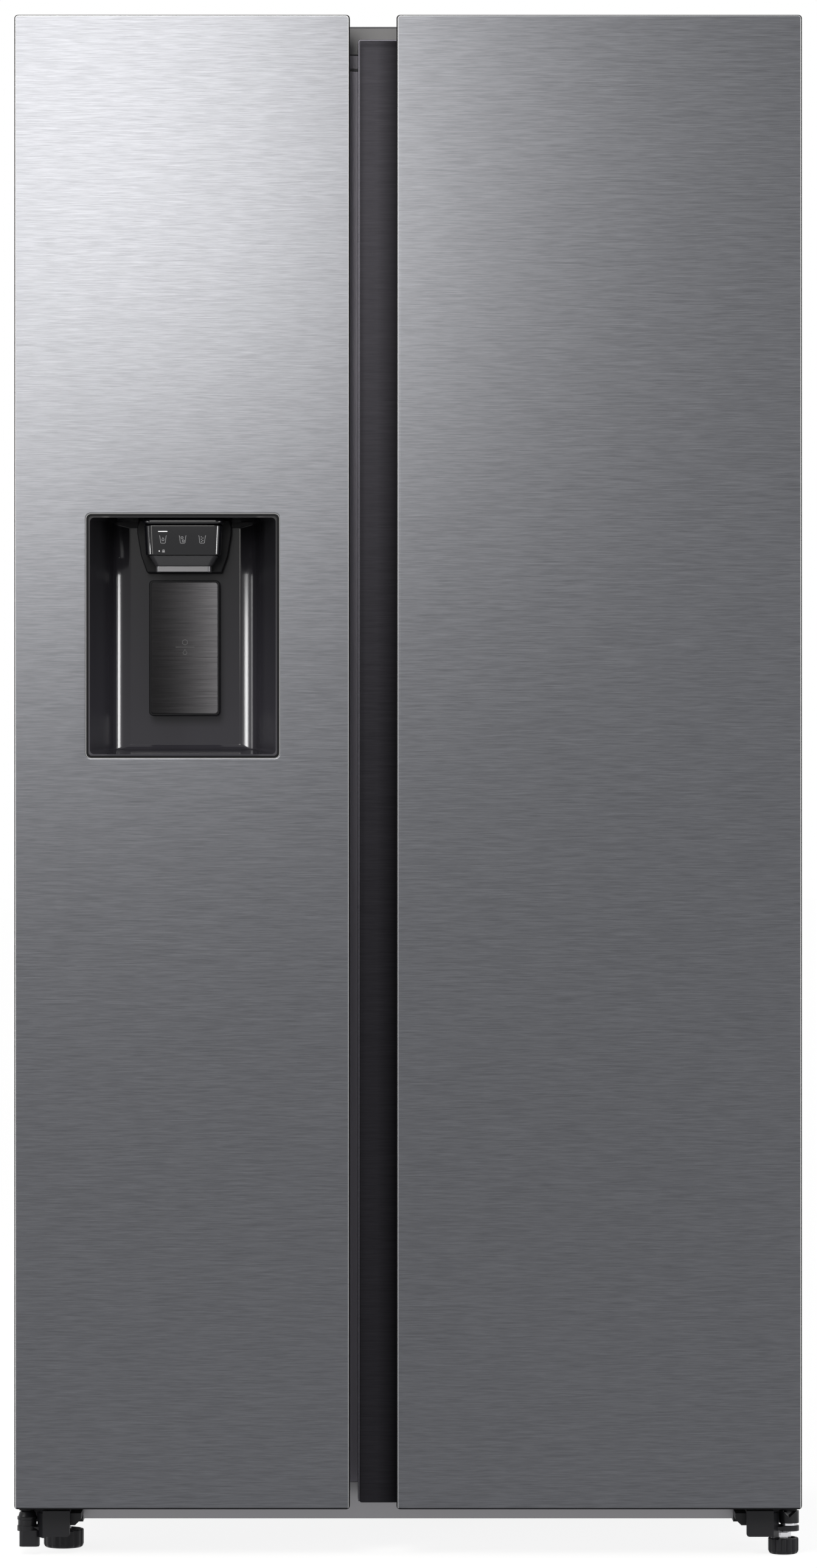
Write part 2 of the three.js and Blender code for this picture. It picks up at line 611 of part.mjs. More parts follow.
// The freezer side's bracket also carries the water line block and the bush of its foot.
function lowerHingeLeft() {
  const { x, y, stemTop } = FEET.left;
  const blockPlan = roundRect(HINGE.x - 14, HINGE.x + 9, -313, -291, 5);
  const guide = extrude(blockPlan, "xy", 10.4, HINGE.eyeBottom + 1);
  const bush = bar("z", -x, y, 9, 24.5, CASE.bottom - GAP - 1, 6);
  const whole = join(lowerHinge(-1), guide, bush).mirror([1, 0, 0]);
  return cut(whole, bar("z", x, y, FOOT_STEM + GAP, 20, stemTop + 5, 12));
}

function lowerHingeRight() {
  const { x, y, stemTop } = FEET.right;
  return cut(lowerHinge(1), bar("z", x, y, FOOT_STEM + GAP, 20, stemTop + 0.5, 12));
}

// Levelling foot: a ribbed knob on a threaded stem with a wrench hexagon.
function levellingFoot({ x, y, r, top, nut, stemTop }) {
  const ribs = 10;
  const rim = new THREE.Shape();
  for (let i = 0; i < ribs * 4; i++) {
    const at = (i / (ribs * 4)) * 2 * Math.PI;
    const radius = i % 4 < 2 ? r : r - 1.6;
    const point = [radius * Math.cos(at), radius * Math.sin(at)];
    if (i) rim.lineTo(...point);
    else rim.moveTo(...point);
  }
  const knob = extrude(rim, "xy", 3, top).translate([x, y, 0]);
  const sole = bar("z", x, y, r - 2.5, 0, 4, 16);
  const cup = bar("z", x, y, r - 4.5, top - 6, top + 1, 16);
  const hexagon = bar("z", x, y, nut.r, top - 7, nut.top, 6);
  return join(cut(join(knob, sole), cup), hexagon, bar("z", x, y, FOOT_STEM, top - 7, stemTop, 12));
}

// Upper hinge: a cranked plate on the case top with a pin down into the door.
function upperHinge(side) {
  const z = CASE.top + GAP;
  const rise = BODY.top + 2.5;
  const foot = block(392, 446, CASE.front + 8, CASE.front + 84, z, z + 3);
  const riser = block(404, 446, CASE.front + 6, CASE.front + 9, z, rise + 3);
  const arm = block(404, 446, HINGE.y, CASE.front + 9, rise, rise + 3);
  const eye = bar("z", HINGE.x, HINGE.y, HINGE.eye, rise, rise + 3, 20);
  const pin = bar("z", HINGE.x, HINGE.y, HINGE.pin, BODY.top - 15, rise + 1, 12);
  const whole = join(foot, riser, arm, eye, pin);
  return side < 0 ? whole.mirror([1, 0, 0]) : whole;
}

function rearRoller(side) {
  const { x, y, r, width, axle } = ROLLER;
  const at = side * x;
  const wheel = cut(
    bar("x", y, r, r, at - width / 2, at + width / 2, 16),
    bar("x", y, r, r - 6, at + width / 2 - 3, at + width / 2 + 1, 10),
    bar("x", y, r, r - 6, at - width / 2 - 1, at - width / 2 + 3, 10),
  );
  return join(wheel, bar("x", y, r, axle, at - 18, at + 18, 10));
}

// ---------------------------------------------------------------- doors
// A shallow steel tray with rounded folds that faces a door; the hole is for the dispenser.
function doorSkin({ x0, x1 }, hole) {
  const { inset, sheet, fold, round } = SKIN;
  const at = (grow, r) =>
    roundRect(x0 + inset + grow, x1 - inset - grow, SLAB.bottom + inset + grow, SLAB.top - inset - grow, r);
  const outer = at(0, CORNER);
  const inner = at(sheet, CORNER - sheet);
  if (hole) {
    outer.holes.push(hole(0));
    inner.holes.push(hole(sheet));
  }
  const full = extrude(outer, "xz", FRONT, FRONT + fold * 2, { round, steps: 2 });
  const cavity = extrude(inner, "xz", FRONT + sheet, FRONT + fold * 3);
  return cut(full, cavity, block(-HALF, HALF, FRONT + fold, BACK, 0, HEIGHT + 1));
}

// The door behind its skin: front panel, neck beside the finger pocket, and foamed body.
function doorBody({ x0, x1, bodyX0, bodyX1 }, pocketSide) {
  const lip = SKIN.inset + SKIN.sheet + GAP;
  const behind = FRONT + SKIN.fold + GAP;
  const panel = extrude(roundRect(x0, x1, SLAB.bottom, SLAB.top, CORNER), "xz", behind, SLAB.back);
  const core = extrude(
    roundRect(x0 + lip, x1 - lip, SLAB.bottom + lip, SLAB.top - lip, 3), "xz",
    FRONT + SKIN.sheet + GAP, behind + 1,
  );
  const neck = pocketSide < 0
    ? block(x0 + POCKET.reach, x1, SLAB.back - 1, POCKET.back + 1, BODY.bottom, BODY.top)
    : block(x0, x1 - POCKET.reach, SLAB.back - 1, POCKET.back + 1, BODY.bottom, BODY.top);
  const rear = extrude(roundRect(bodyX0, bodyX1, BODY.bottom, BODY.top, 3), "xz", POCKET.back, BODY.back);
  return join(panel, core, neck, rear);
}

// Sockets of the two hinge pins, the lower one with a bushing that rests on the hinge's collar.
function hingeSockets(body, side) {
  const x = side * HINGE.x;
  const bushing = bar("z", x, HINGE.y, 9.5, HINGE.top + GAP, BODY.bottom + 1);
  return cut(
    join(body, bushing),
    bar("z", x, HINGE.y, HINGE.pin + 0.5, HINGE.top - 1, BODY.bottom + 17, 12),
    bar("z", x, HINGE.y, HINGE.pin + 0.5, BODY.top - 17, BODY.top + 1, 12),
  );
}

// Dark grip sheet of the right door: wraps the body's edge and lines the finger pocket.
function gripSheet() {
  const t = 1.2;
  const edge = RIGHT_DOOR.bodyX0;
  const end = RIGHT_DOOR.x0 + POCKET.reach - GAP;
  const [y, r] = [POCKET.back - GAP, 3];
  const face = y - t;
  const profile = new THREE.Shape();
  profile.moveTo(edge - t - GAP, -282);
  profile.lineTo(edge - t - GAP, face + r);
  profile.quadraticCurveTo(edge - t - GAP, face, edge - t - GAP + r, face);
  profile.lineTo(end - 11, face);
  profile.quadraticCurveTo(end - t, face, end - t, face - 11);
  profile.lineTo(end - t, SLAB.back + 1);
  profile.lineTo(end, SLAB.back + 1);
  profile.lineTo(end, y);
  profile.lineTo(edge - GAP, y);
  profile.lineTo(edge - GAP, -282);
  profile.closePath();
  const sheet = extrude(profile, "xy", BODY.bottom + 1, BODY.top - 1, { curve: 5 });
  const outline = roundRect(edge - t - GAP, end + 20, BODY.bottom + 1, BODY.top - 1, 4);
  return common(sheet, extrude(outline, "xz", FRONT, 0, { curve: 3 }));
}

// Inner panel of a door: a flat sheet with a rounded ridge and a pair of lugs for each bin.
function doorLiner(door, dyke, bins) {
  const { back, side, top, bottom } = DYKE;
  const sheet = extrude(
    roundRect(door.bodyX0 + 5, door.bodyX1 - 5, BODY.bottom + 6, BODY.top - 6, 8), "xz",
    BODY.back + GAP, LINER_BACK, { curve: 1 },
  );
  const ring = roundRect(dyke.x0, dyke.x1, bottom, top, 18);
  ring.holes.push(roundRect(dyke.x0 + side, dyke.x1 - side, bottom + 26, top - 26, 6));
  const ridge = extrude(ring, "xz", LINER_BACK - 5, back, { round: 4, steps: 2, curve: 1 });
  const lugs = bins.flatMap((z) => [
    block(dyke.x0 + side - 1, dyke.x0 + side + 7, LINER_BACK - 1, back - 6, z - 9, z - GAP),
    block(dyke.x1 - side - 7, dyke.x1 - side + 1, LINER_BACK - 1, back - 6, z - 9, z - GAP),
  ]);
  const clip = block(-HALF, HALF, BODY.back + GAP, BACK, 0, HEIGHT);
  return common(join(sheet, ridge, lugs), clip);
}

// Magnetic gasket: a broad bellows foot and a narrower magnet strip.
function gasket(x0, x1) {
  const { bottom, top, foot, magnet } = GASKET;
  const frame = (inset, width) => {
    const shape = roundRect(x0 + inset, x1 - inset, bottom + inset, top - inset, 6);
    const grown = inset + width;
    shape.holes.push(roundRect(x0 + grown, x1 - grown, bottom + grown, top - grown, 4));
    return shape;
  };
  const near = LINER_BACK + GAP;
  const inset = (foot - magnet) / 2;
  return join(
    extrude(frame(0, foot), "xz", near, near + 4.2, { curve: 1 }),
    extrude(frame(inset, magnet), "xz", near + 4, CASE.front - GAP, { curve: 1 }),
  );
}

// ---------------------------------------------------------------- dispenser
const recessHole = (grow) =>
  roundRect(
    RECESS.x - 111.5 - grow, RECESS.x + 111.5 + grow,
    RECESS.bottom - 1.7 - grow, RECESS.top + 1.7 + grow, 5 + grow,
  );

// The ice path from under the bucket down to the hood: a sloping floor under a roomy ceiling.
function icePath() {
  const ceiling = ICE.bucketBottom + 4;
  const side = polygon(
    [-208, ceiling], [-300, ceiling], [DUCT.y0, ceiling - 35],
    [DUCT.y0, 1198], [DUCT.y1, 1198], [-208, 1266],
  );
  return extrude(side, "yz", RECESS.x - DUCT.half, RECESS.x + DUCT.half);
}

// Moulded well: its side walls draw in towards the back, and its floor falls to the front.
function dispenserRecess() {
  const { x, half, bottom, top, back, wall } = RECESS;
  const body = extrude(roundRect(x - half - 2, x + half + 2, bottom, top, 4), "xz", FRONT + 6, back + 5);
  const rim = extrude(
    roundRect(x - 111, x + 111, bottom - 1.2, top + 1.2, 5), "xz", FRONT + 0.4, FRONT + 6.2,
  );
  const plan = new THREE.Shape();
  plan.moveTo(x - half, FRONT - 2);
  plan.lineTo(x - half + 1, FRONT + 8);
  plan.bezierCurveTo(x - half + 4, -325, x - 92, -305, x - 86, -295);
  plan.quadraticCurveTo(x - 80, back, x - 72, back);
  plan.lineTo(x + 72, back);
  plan.quadraticCurveTo(x + 80, back, x + 86, -295);
  plan.bezierCurveTo(x + 92, -305, x + half - 4, -325, x + half - 1, FRONT + 8);
  plan.lineTo(x + half, FRONT - 2);
  plan.closePath();
  const side = new THREE.Shape();
  side.moveTo(FRONT - 2, bottom + wall);
  side.lineTo(back, bottom + wall + 7);
  side.lineTo(back, top - 26);
  side.quadraticCurveTo(back, top - wall, back - 24, top - wall);
  side.lineTo(FRONT - 2, top - wall);
  side.closePath();
  const hollow = common(
    extrude(plan, "xy", bottom, top, { curve: 6 }),
    extrude(side, "yz", x - half, x + half, { curve: 4 }),
  );
  const lugs = [-1, 1].map((s) => {
    const at = x + s * 46;
    return block(at - 3, at + 3, PADDLE.pivotY - 6, back + 1, PADDLE.pivotZ - 7, PADDLE.pivotZ + 6);
  });
  const bore = bar("x", PADDLE.pivotY, PADDLE.pivotZ, 3.4, x - 60, x + 60, 14);
  const mouth = block(x - 31, x + 31, -334, -291, top - 10, top + 1);
  return cut(join(cut(join(body, rim), hollow), lugs), bore, mouth);
}

// Hood over the glass: a wedge-sided block with the touch panel, a chin and the outlet.
function dispenserHood() {
  const { half, taper, front, bottom, top } = HOOD;
  const { x, back } = RECESS;
  const rear = back - GAP;
  const tapered = (halfTop, halfBottom, frontTop, frontBottom, z0, z1, r) => {
    const ring = (h, f, z) => {
      const points = [];
      const arc = 3;
      for (let i = 0; i <= arc; i++) {
        const a = (i / arc) * (Math.PI / 2);
        points.push(new THREE.Vector3(x - h + r - r * Math.cos(a), f + r - r * Math.sin(a), z));
      }
      for (let i = 0; i <= arc; i++) {
        const a = (i / arc) * (Math.PI / 2);
        points.push(new THREE.Vector3(x + h - r + r * Math.sin(a), f + r - r * Math.cos(a), z));
      }
      points.push(new THREE.Vector3(x + h, rear - 26, z), new THREE.Vector3(x - h, rear - 26, z));
      return points;
    };
    return outward((flip) => {
      const rings = [ring(halfBottom, frontBottom, z0), ring(halfTop, frontTop, z1)];
      return loft(flip ? rings.map((points) => [...points].reverse()) : rings);
    }, false);
  };
  const touchBlock = tapered(half, half - taper, front, front, bottom, top, 9);
  const chin = tapered(half - taper - 4, half - 12, front + 4, front + 14, bottom - 12, bottom + 0.5, 6);
  const outlet = block(x - 32, x + 32, front + 17, rear - 8, bottom - 19, bottom - 11);
  const base = extrude(
    polygon([x - 43, 1144], [x + 43, 1144], [x + 51, 1166], [x + 55, 1197], [x + 52, top], [x - 52, top],
      [x - 55, 1197], [x - 51, 1166]),
    "xz", rear - 28, rear,
  );
  const corner = extrude(
    polygon([rear - 29, top + 1], [rear + 1, top + 1], [rear + 1, 1178]), "yz", x - 56, x + 56,
  );
  const passage = block(x - DUCT.half, x + DUCT.half, DUCT.y0, DUCT.y1, bottom - 25, top + 1);
  const bore = bar("x", FLAP.pivotY, FLAP.pivotZ, 2.3, x - 34, x + 34, 12);
  return cut(join(touchBlock, chin, outlet, cut(base, corner)), passage, bore);
}

function dispenserPaddle() {
  const { half, bottom, top, front, thick, pivotZ, pivotY } = PADDLE;
  const { x } = RECESS;
  const plate = extrude(
    roundRect(x - half, x + half, bottom, top, 5), "xz", front, front + thick, { round: 1.2, steps: 2 },
  );
  const web = block(x - half + 6, x + half - 6, front + thick - 1, pivotY + 1, pivotZ - 4, pivotZ + 3);
  const shaft = bar("x", pivotY, pivotZ, 3, x - 48.5, x + 48.5, 14);
  return join(plate, web, shaft);
}

function iceFlap() {
  const { pivotY, pivotZ, thick } = FLAP;
  const { x } = RECESS;
  const plate = block(x - 26.5, x + 26.5, DUCT.y0 + 2, pivotY, pivotZ - thick / 2, pivotZ + thick / 2);
  return join(plate, bar("x", pivotY, pivotZ, 2, x - 31, x + 31, 12));
}

// ---------------------------------------------------------------- ice maker in the freezer door
// Frame that carries the tray: a gear housing at one end, a bearing ear and a roof.
function iceMakerFrame() {
  const { x0, x1, y0, y1 } = ICE;
  const [z0, z1] = [ICE_MAKER.bottom, ICE_MAKER.top];
  const roof = block(x0, x1, y0, y1, z1 - 3, z1);
  const wallPlate = block(x0, x1, y0, y0 + 2.4, z0, z1);
  const gearbox = extrude(roundRect(y0, y1, z0, z1, 5), "yz", x0, TRAY.x0 - 7, { curve: 2 });
  const ear = block(TRAY.x1 + 6, x1, y0, y1, z0, z1);
  const bore = bar("x", TRAY.y, TRAY.z, 5.4, TRAY.x0 - 14, TRAY.x1 + 14, 14);
  return cut(join(roof, wallPlate, gearbox, ear), bore);
}

// Twist tray with two rows of cups, on a journal at each end.
function iceTray() {
  const { x0, x1, y, z, width, height, cups } = TRAY;
  const [y0, y1] = [y - width / 2, y + width / 2];
  const top = z + 5;
  const side = polygon([y0, top], [y0 + 7, top - height], [y1 - 7, top - height], [y1, top]);
  const body = extrude(side, "yz", x0, x1);
  const pitch = (x1 - x0 - 4) / cups;
  const hollows = [];
  for (let i = 0; i < cups; i++)
    for (const s of [-1, 1]) {
      const cx = x0 + 2 + (i + 0.5) * pitch;
      const cy = y + s * 10.5;
      const [hx, hy] = [pitch / 2 - 1.6, 8.4];
      const ring = (k, at) => [
        new THREE.Vector3(cx - hx * k, cy - hy * k, at), new THREE.Vector3(cx + hx * k, cy - hy * k, at),
        new THREE.Vector3(cx + hx * k, cy + hy * k, at), new THREE.Vector3(cx - hx * k, cy + hy * k, at),
      ];
      hollows.push(loft([ring(0.62, top - height + 3), ring(1.04, top + 1)]));
    }
  const journals = [bar("x", y, z, 5, x0 - 13, x0 + 1, 12), bar("x", y, z, 5, x1 - 1, x1 + 12, 12)];
  return join(cut(body, hollows), journals);
}

function iceBucket() {
  const { x0, x1, y0, y1, bucketBottom, bucketTop } = ICE;
  const tub = cut(
    extrude(roundRect(x0, x1, y0, y1, 9), "xy", bucketBottom, bucketTop),
    extrude(roundRect(x0 + 3, x1 - 3, y0 + 3, y1 - 3, 7), "xy", bucketBottom + 3, bucketTop + 1),
  );
  const outlet = block(RECESS.x - 24, RECESS.x + 24, -250, -210, bucketBottom - 1, bucketBottom + 4);
  const bearings = bar("x", AUGER.y, AUGER.z, AUGER.shaft + GAP, x0 - 1, x1 + 1, 14);
  return cut(tub, outlet, bearings);
}

// Auger with a left and a right handed screw that bring the ice to the outlet between them.
function iceAuger() {
  const { y, z, r, shaft, pitch, turns, thick } = AUGER;
  const steps = Math.round(turns * 7);
  const screw = (hand) => {
    const rings = [];
    for (let i = 0; i <= steps; i++) {
      const angle = (hand * i * turns * 2 * Math.PI) / steps;
      const x = RECESS.x + hand * (12 + (i / steps) * turns * pitch);
      const at = (radius, along) =>
        new THREE.Vector3(x + along, y + radius * Math.cos(angle), z + radius * Math.sin(angle));
      rings.push([at(shaft - 1, -thick / 2), at(r, -thick / 2), at(r, thick / 2), at(shaft - 1, thick / 2)]);
    }
    return outward((flip) => loft(flip ? rings.map((ring) => [...ring].reverse()) : rings), false);
  };
  const core = bar("x", y, z, shaft, ICE.x0 + 0.5, ICE.x1 - 0.5, 10);
  return join(core, screw(1), screw(-1));
}

// ---------------------------------------------------------------- assembly
const cabinet = new THREE.Group();
const freezerDoor = new THREE.Group();
const fridgeDoor = new THREE.Group();
refrigerator.add(cabinet, freezerDoor, fridgeDoor);

piece("case_wrap", caseWrap(), FINISH.painted, cabinet);
piece("back_panel", backPanel(), FINISH.galvanised, cabinet);
piece("base_frame", baseFrame(), FINISH.galvanised, cabinet);
piece("insulation_foam", insulation(), FINISH.foam, cabinet);
const freezerLip = { x0: -CASE.half + SIDE_FLANGE + GAP, x1: MULLION.x0 - GAP };
const fridgeLip = { x0: MULLION.x1 + GAP, x1: CASE.half - SIDE_FLANGE - GAP };
const freezerInside = liner(FREEZER, freezerLip, FREEZER_SHELVES, SHELF_BACK.freezer - 8);
const fridgeInside = liner(FRIDGE, fridgeLip, FRIDGE_SHELVES, SHELF_BACK.fridge - 8);
piece("freezer_liner", freezerInside, FINISH.white, cabinet);
piece("fridge_liner", fridgeInside, FINISH.white, cabinet);
piece("mullion_cover", mullionCover(), FINISH.painted, cabinet);
piece("top_front_cover", topFrontCover(), FINISH.painted, cabinet);
piece("freezer_duct_cover", freezerDuctCover(), FINISH.white, cabinet);
piece("fridge_duct_cover", fridgeDuctCover(), FINISH.white, cabinet);
piece("evaporator", evaporator(), FINISH.aluminium, cabinet);
piece("compressor", compressor(), FINISH.black, cabinet);
piece("condenser", condenser(), FINISH.blackSteel, cabinet);
piece("drain_pan", drainPan(), FINISH.black, cabinet);
piece("machine_cover", machineCover(), FINISH.galvanised, cabinet);

const evaporatorFan = piece("evaporator_fan", fanRotor(EVAPORATOR_FAN), FINISH.fan, cabinet);
evaporatorFan.position.copy(EVAPORATOR_FAN);
const condenserFan = piece("condenser_fan", fanRotor(CONDENSER_FAN), FINISH.fan, cabinet);
condenserFan.rotation.z = Math.PI / 2;
condenserFan.position.copy(CONDENSER_FAN);

piece("lower_hinge_left", lowerHingeLeft(), FINISH.blackSteel, cabinet);
piece("lower_hinge_right", lowerHingeRight(), FINISH.blackSteel, cabinet);
for (const [side, name] of [[-1, "left"], [1, "right"]]) {
  piece(`upper_hinge_${name}`, upperHinge(side), FINISH.galvanised, cabinet);
  piece(`leveling_foot_${name}`, levellingFoot(FEET[name]), FINISH.black, cabinet);
  piece(`rear_roller_${name}`, rearRoller(side), FINISH.black, cabinet);
}

FREEZER_SHELVES.forEach((z, i) =>
  piece(`freezer_shelf_${i + 1}`, shelf(FREEZER, z, SHELF_BACK.freezer), FINISH.glass, cabinet),
);
FRIDGE_SHELVES.forEach((z, i) =>
  piece(`fridge_shelf_${i + 1}`, shelf(FRIDGE, z, SHELF_BACK.fridge), FINISH.glass, cabinet),
);
for (const tub of DRAWERS) {
  piece(`freezer_drawer_${tub.name}`, drawer(FREEZER, tub), FINISH.clear, cabinet);
  piece(`crisper_${tub.name}`, drawer(FRIDGE, tub), FINISH.clear, cabinet);
}

piece("fridge_door_skin", doorSkin(RIGHT_DOOR), FINISH.brushed, fridgeDoor);
piece("fridge_door_body", hingeSockets(doorBody(RIGHT_DOOR, -1), 1), FINISH.black, fridgeDoor);
piece("fridge_door_grip", gripSheet(), FINISH.darkBrushed, fridgeDoor);
piece("fridge_door_liner", doorLiner(RIGHT_DOOR, RIGHT_DYKE, FRIDGE_BINS), FINISH.white, fridgeDoor);
piece("fridge_door_gasket", gasket(-54, 436), FINISH.rubber, fridgeDoor);
FRIDGE_BINS.forEach((z, i) => piece(`fridge_bin_${i + 1}`, bin(RIGHT_DYKE, z), FINISH.clear, fridgeDoor));

piece("freezer_door_skin", doorSkin(LEFT_DOOR, recessHole), FINISH.brushed, freezerDoor);
const well = join(
  extrude(recessHole(-0.2), "xz", FRONT, RECESS.back + 5 + GAP),
  extrude(recessHole(SKIN.sheet + GAP), "xz", FRONT, FRONT + SKIN.fold + GAP),
);
const freezerBody = cut(hingeSockets(doorBody(LEFT_DOOR, 1), -1), well, icePath());
piece("freezer_door_body", freezerBody, FINISH.black, freezerDoor);
const chute = block(RECESS.x - 36, RECESS.x + 36, LINER_BACK - 1, -200, 1230, ICE.bucketBottom - GAP);
const freezerInner = cut(join(doorLiner(LEFT_DOOR, LEFT_DYKE, FREEZER_BINS), chute), icePath());
piece("freezer_door_liner", freezerInner, FINISH.white, freezerDoor);
piece("freezer_door_gasket", gasket(-436, -75), FINISH.rubber, freezerDoor);
piece("dispenser_recess", dispenserRecess(), FINISH.black, freezerDoor);
piece("dispenser_hood", dispenserHood(), FINISH.black, freezerDoor);
piece("dispenser_paddle", dispenserPaddle(), FINISH.darkBrushed, freezerDoor);
piece("ice_flap", iceFlap(), FINISH.black, freezerDoor);
piece("ice_maker_frame", iceMakerFrame(), FINISH.white, freezerDoor);
piece("ice_tray", iceTray(), FINISH.white, freezerDoor);
piece("ice_bucket", iceBucket(), FINISH.clear, freezerDoor);
piece("ice_auger", iceAuger(), FINISH.aluminium, freezerDoor);
FREEZER_BINS.forEach((z, i) => piece(`freezer_bin_${i + 1}`, bin(LEFT_DYKE, z), FINISH.clear, freezerDoor));

export default refrigerator;
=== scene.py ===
"""Looks of the side by side refrigerator: materials, fittings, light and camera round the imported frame.

Metres, +Z up, and the doors look along -Y. Pieces are built in millimetres, from the boxes of the
frame's nodes. Looks, lamps and the camera are in metres.
"""

import math

import bmesh
import bpy
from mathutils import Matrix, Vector


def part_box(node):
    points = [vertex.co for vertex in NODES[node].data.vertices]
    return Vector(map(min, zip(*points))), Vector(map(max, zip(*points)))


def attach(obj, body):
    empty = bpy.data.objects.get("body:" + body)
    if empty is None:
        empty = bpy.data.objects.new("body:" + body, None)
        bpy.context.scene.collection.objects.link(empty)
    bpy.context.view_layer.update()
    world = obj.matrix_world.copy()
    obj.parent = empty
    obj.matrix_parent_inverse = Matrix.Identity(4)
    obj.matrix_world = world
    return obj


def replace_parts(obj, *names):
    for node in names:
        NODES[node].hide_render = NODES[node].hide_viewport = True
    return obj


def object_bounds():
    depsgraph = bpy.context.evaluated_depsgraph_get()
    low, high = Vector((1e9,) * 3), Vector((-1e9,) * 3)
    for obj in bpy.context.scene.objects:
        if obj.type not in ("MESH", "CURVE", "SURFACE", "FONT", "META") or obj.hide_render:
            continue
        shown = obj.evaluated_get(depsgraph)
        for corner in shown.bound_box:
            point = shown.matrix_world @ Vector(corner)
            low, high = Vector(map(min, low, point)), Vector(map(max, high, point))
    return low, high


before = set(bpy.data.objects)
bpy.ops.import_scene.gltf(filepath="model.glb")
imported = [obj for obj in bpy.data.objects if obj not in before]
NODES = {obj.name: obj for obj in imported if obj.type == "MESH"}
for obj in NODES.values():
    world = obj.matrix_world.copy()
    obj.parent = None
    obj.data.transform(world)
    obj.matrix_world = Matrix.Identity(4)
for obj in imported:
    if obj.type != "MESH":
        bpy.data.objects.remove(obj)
CAD_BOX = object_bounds()
MM = 0.001


class Box:
    """A node's box at rest, in millimetres."""

    def __init__(self, node):
        low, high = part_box(node)
        self.x0, self.y0, self.z0 = low / MM
        self.x1, self.y1, self.z1 = high / MM
        self.x, self.y = ((low + high) / 2 / MM)[:2]


RECESS = Box("dispenser_recess")


# ---------------------------------------------------------------- materials
class Look:
    """A node material in the making: a Principled shader with procedural colour, gloss and relief."""

    def __init__(self, name, color, roughness, **sockets):
        self.material = bpy.data.materials.new(name)
        self.material.use_nodes = True
        self.tree = self.material.node_tree
        self.shader = self.tree.nodes["Principled BSDF"]
        self.inputs = self.shader.inputs
        self.inputs["Base Color"].default_value = (*color, 1)
        self.inputs["Roughness"].default_value = roughness
        for socket, value in sockets.items():
            self.inputs[socket.replace("_", " ")].default_value = value
        self.point = self.add("ShaderNodeTexCoord").outputs["Object"]

    def add(self, kind, **settings):
        node = self.tree.nodes.new(kind)
        for key, value in settings.items():
            setattr(node, key, value)
        return node

    def link(self, source, target):
        self.tree.links.new(source, target)

    def noise(self, cycles, detail=2.0, rough=0.5):
        """Noise with that many cycles per metre along X, Y and Z."""
        mapping = self.add("ShaderNodeMapping")
        mapping.inputs["Scale"].default_value = cycles
        self.link(self.point, mapping.inputs["Vector"])
        texture = self.add("ShaderNodeTexNoise")
        texture.inputs["Scale"].default_value = 1.0
        texture.inputs["Detail"].default_value = detail
        texture.inputs["Roughness"].default_value = rough
        self.link(mapping.outputs["Vector"], texture.inputs["Vector"])
        return texture.outputs["Fac"]

    def cells(self, cycles):
        """Random flat cells with that many to the metre."""
        texture = self.add("ShaderNodeTexVoronoi")
        texture.inputs["Scale"].default_value = cycles
        self.link(self.point, texture.inputs["Vector"])
        return texture.outputs["Color"]

    def spread(self, source, lowest, highest, start=0.3, end=0.7):
        """The source between start and end, mapped to lowest and highest."""
        node = self.add("ShaderNodeMapRange")
        ends = {"From Min": start, "From Max": end, "To Min": lowest, "To Max": highest}
        for socket, value in ends.items():
            node.inputs[socket].default_value = value
        self.link(source, node.inputs["Value"])
        return node.outputs["Result"]

    def tint(self, source, first, second, start=0.3, end=0.7):
        """Base colour that runs from the first colour to the second with the source."""
        ramp = self.add("ShaderNodeValToRGB")
        ramp.color_ramp.elements[0].position = start
        ramp.color_ramp.elements[1].position = end
        ramp.color_ramp.elements[0].color = (*first, 1)
        ramp.color_ramp.elements[1].color = (*second, 1)
        self.link(source, ramp.inputs["Fac"])
        self.link(ramp.outputs["Color"], self.inputs["Base Color"])
        return ramp

    def gloss(self, source, smoothest, roughest):
        self.link(self.spread(source, smoothest, roughest), self.inputs["Roughness"])

    def fade(self, ramp, axis, start, end, factor, power=1.0):
        """Painted shade: dims the ramp's colour by the factor at start on that axis, in metres, and clears
        by end.
        """
        place = self.add("ShaderNodeSeparateXYZ")
        self.link(self.point, place.inputs["Vector"])
        run = self.add("ShaderNodeMath", operation="POWER")
        run.inputs[1].default_value = power
        self.link(self.spread(place.outputs[axis], 0.0, 1.0, start, end), run.inputs[0])
        dimmed = self.add("ShaderNodeVectorMath", operation="SCALE")
        self.link(ramp.outputs["Color"], dimmed.inputs["Vector"])
        self.link(self.spread(run.outputs["Value"], factor, 1.0, 0.0, 1.0), dimmed.inputs["Scale"])
        self.link(dimmed.outputs["Vector"], self.inputs["Base Color"])

    def relief(self, source, depth, strength):
        """Bump of that depth in metres."""
        bump = self.add("ShaderNodeBump")
        bump.inputs["Distance"].default_value = depth
        bump.inputs["Strength"].default_value = strength
        self.link(source, bump.inputs["Height"])
        self.link(bump.outputs["Normal"], self.inputs["Normal"])


def scaled(color, factor):
    return tuple(channel * factor for channel in color)


BRUSHING = {"anisotropy": 0.05, "quarter_turn": 0.25, "grain_share": 0.7, "scratch_share": 0.3,
            "darkest": 0.36, "palest": 0.64, "gloss_range": 0.03}
MOULDING = {"gloss_range": 0.008, "flow": 4}
PAINTING = {"tone_range": 0.03, "gloss_range": 0.03, "peel": 420}
WELL_WALLS = {"smooth_to": 0.084, "rough_from": 0.095}  # distance from the well's middle, in metres


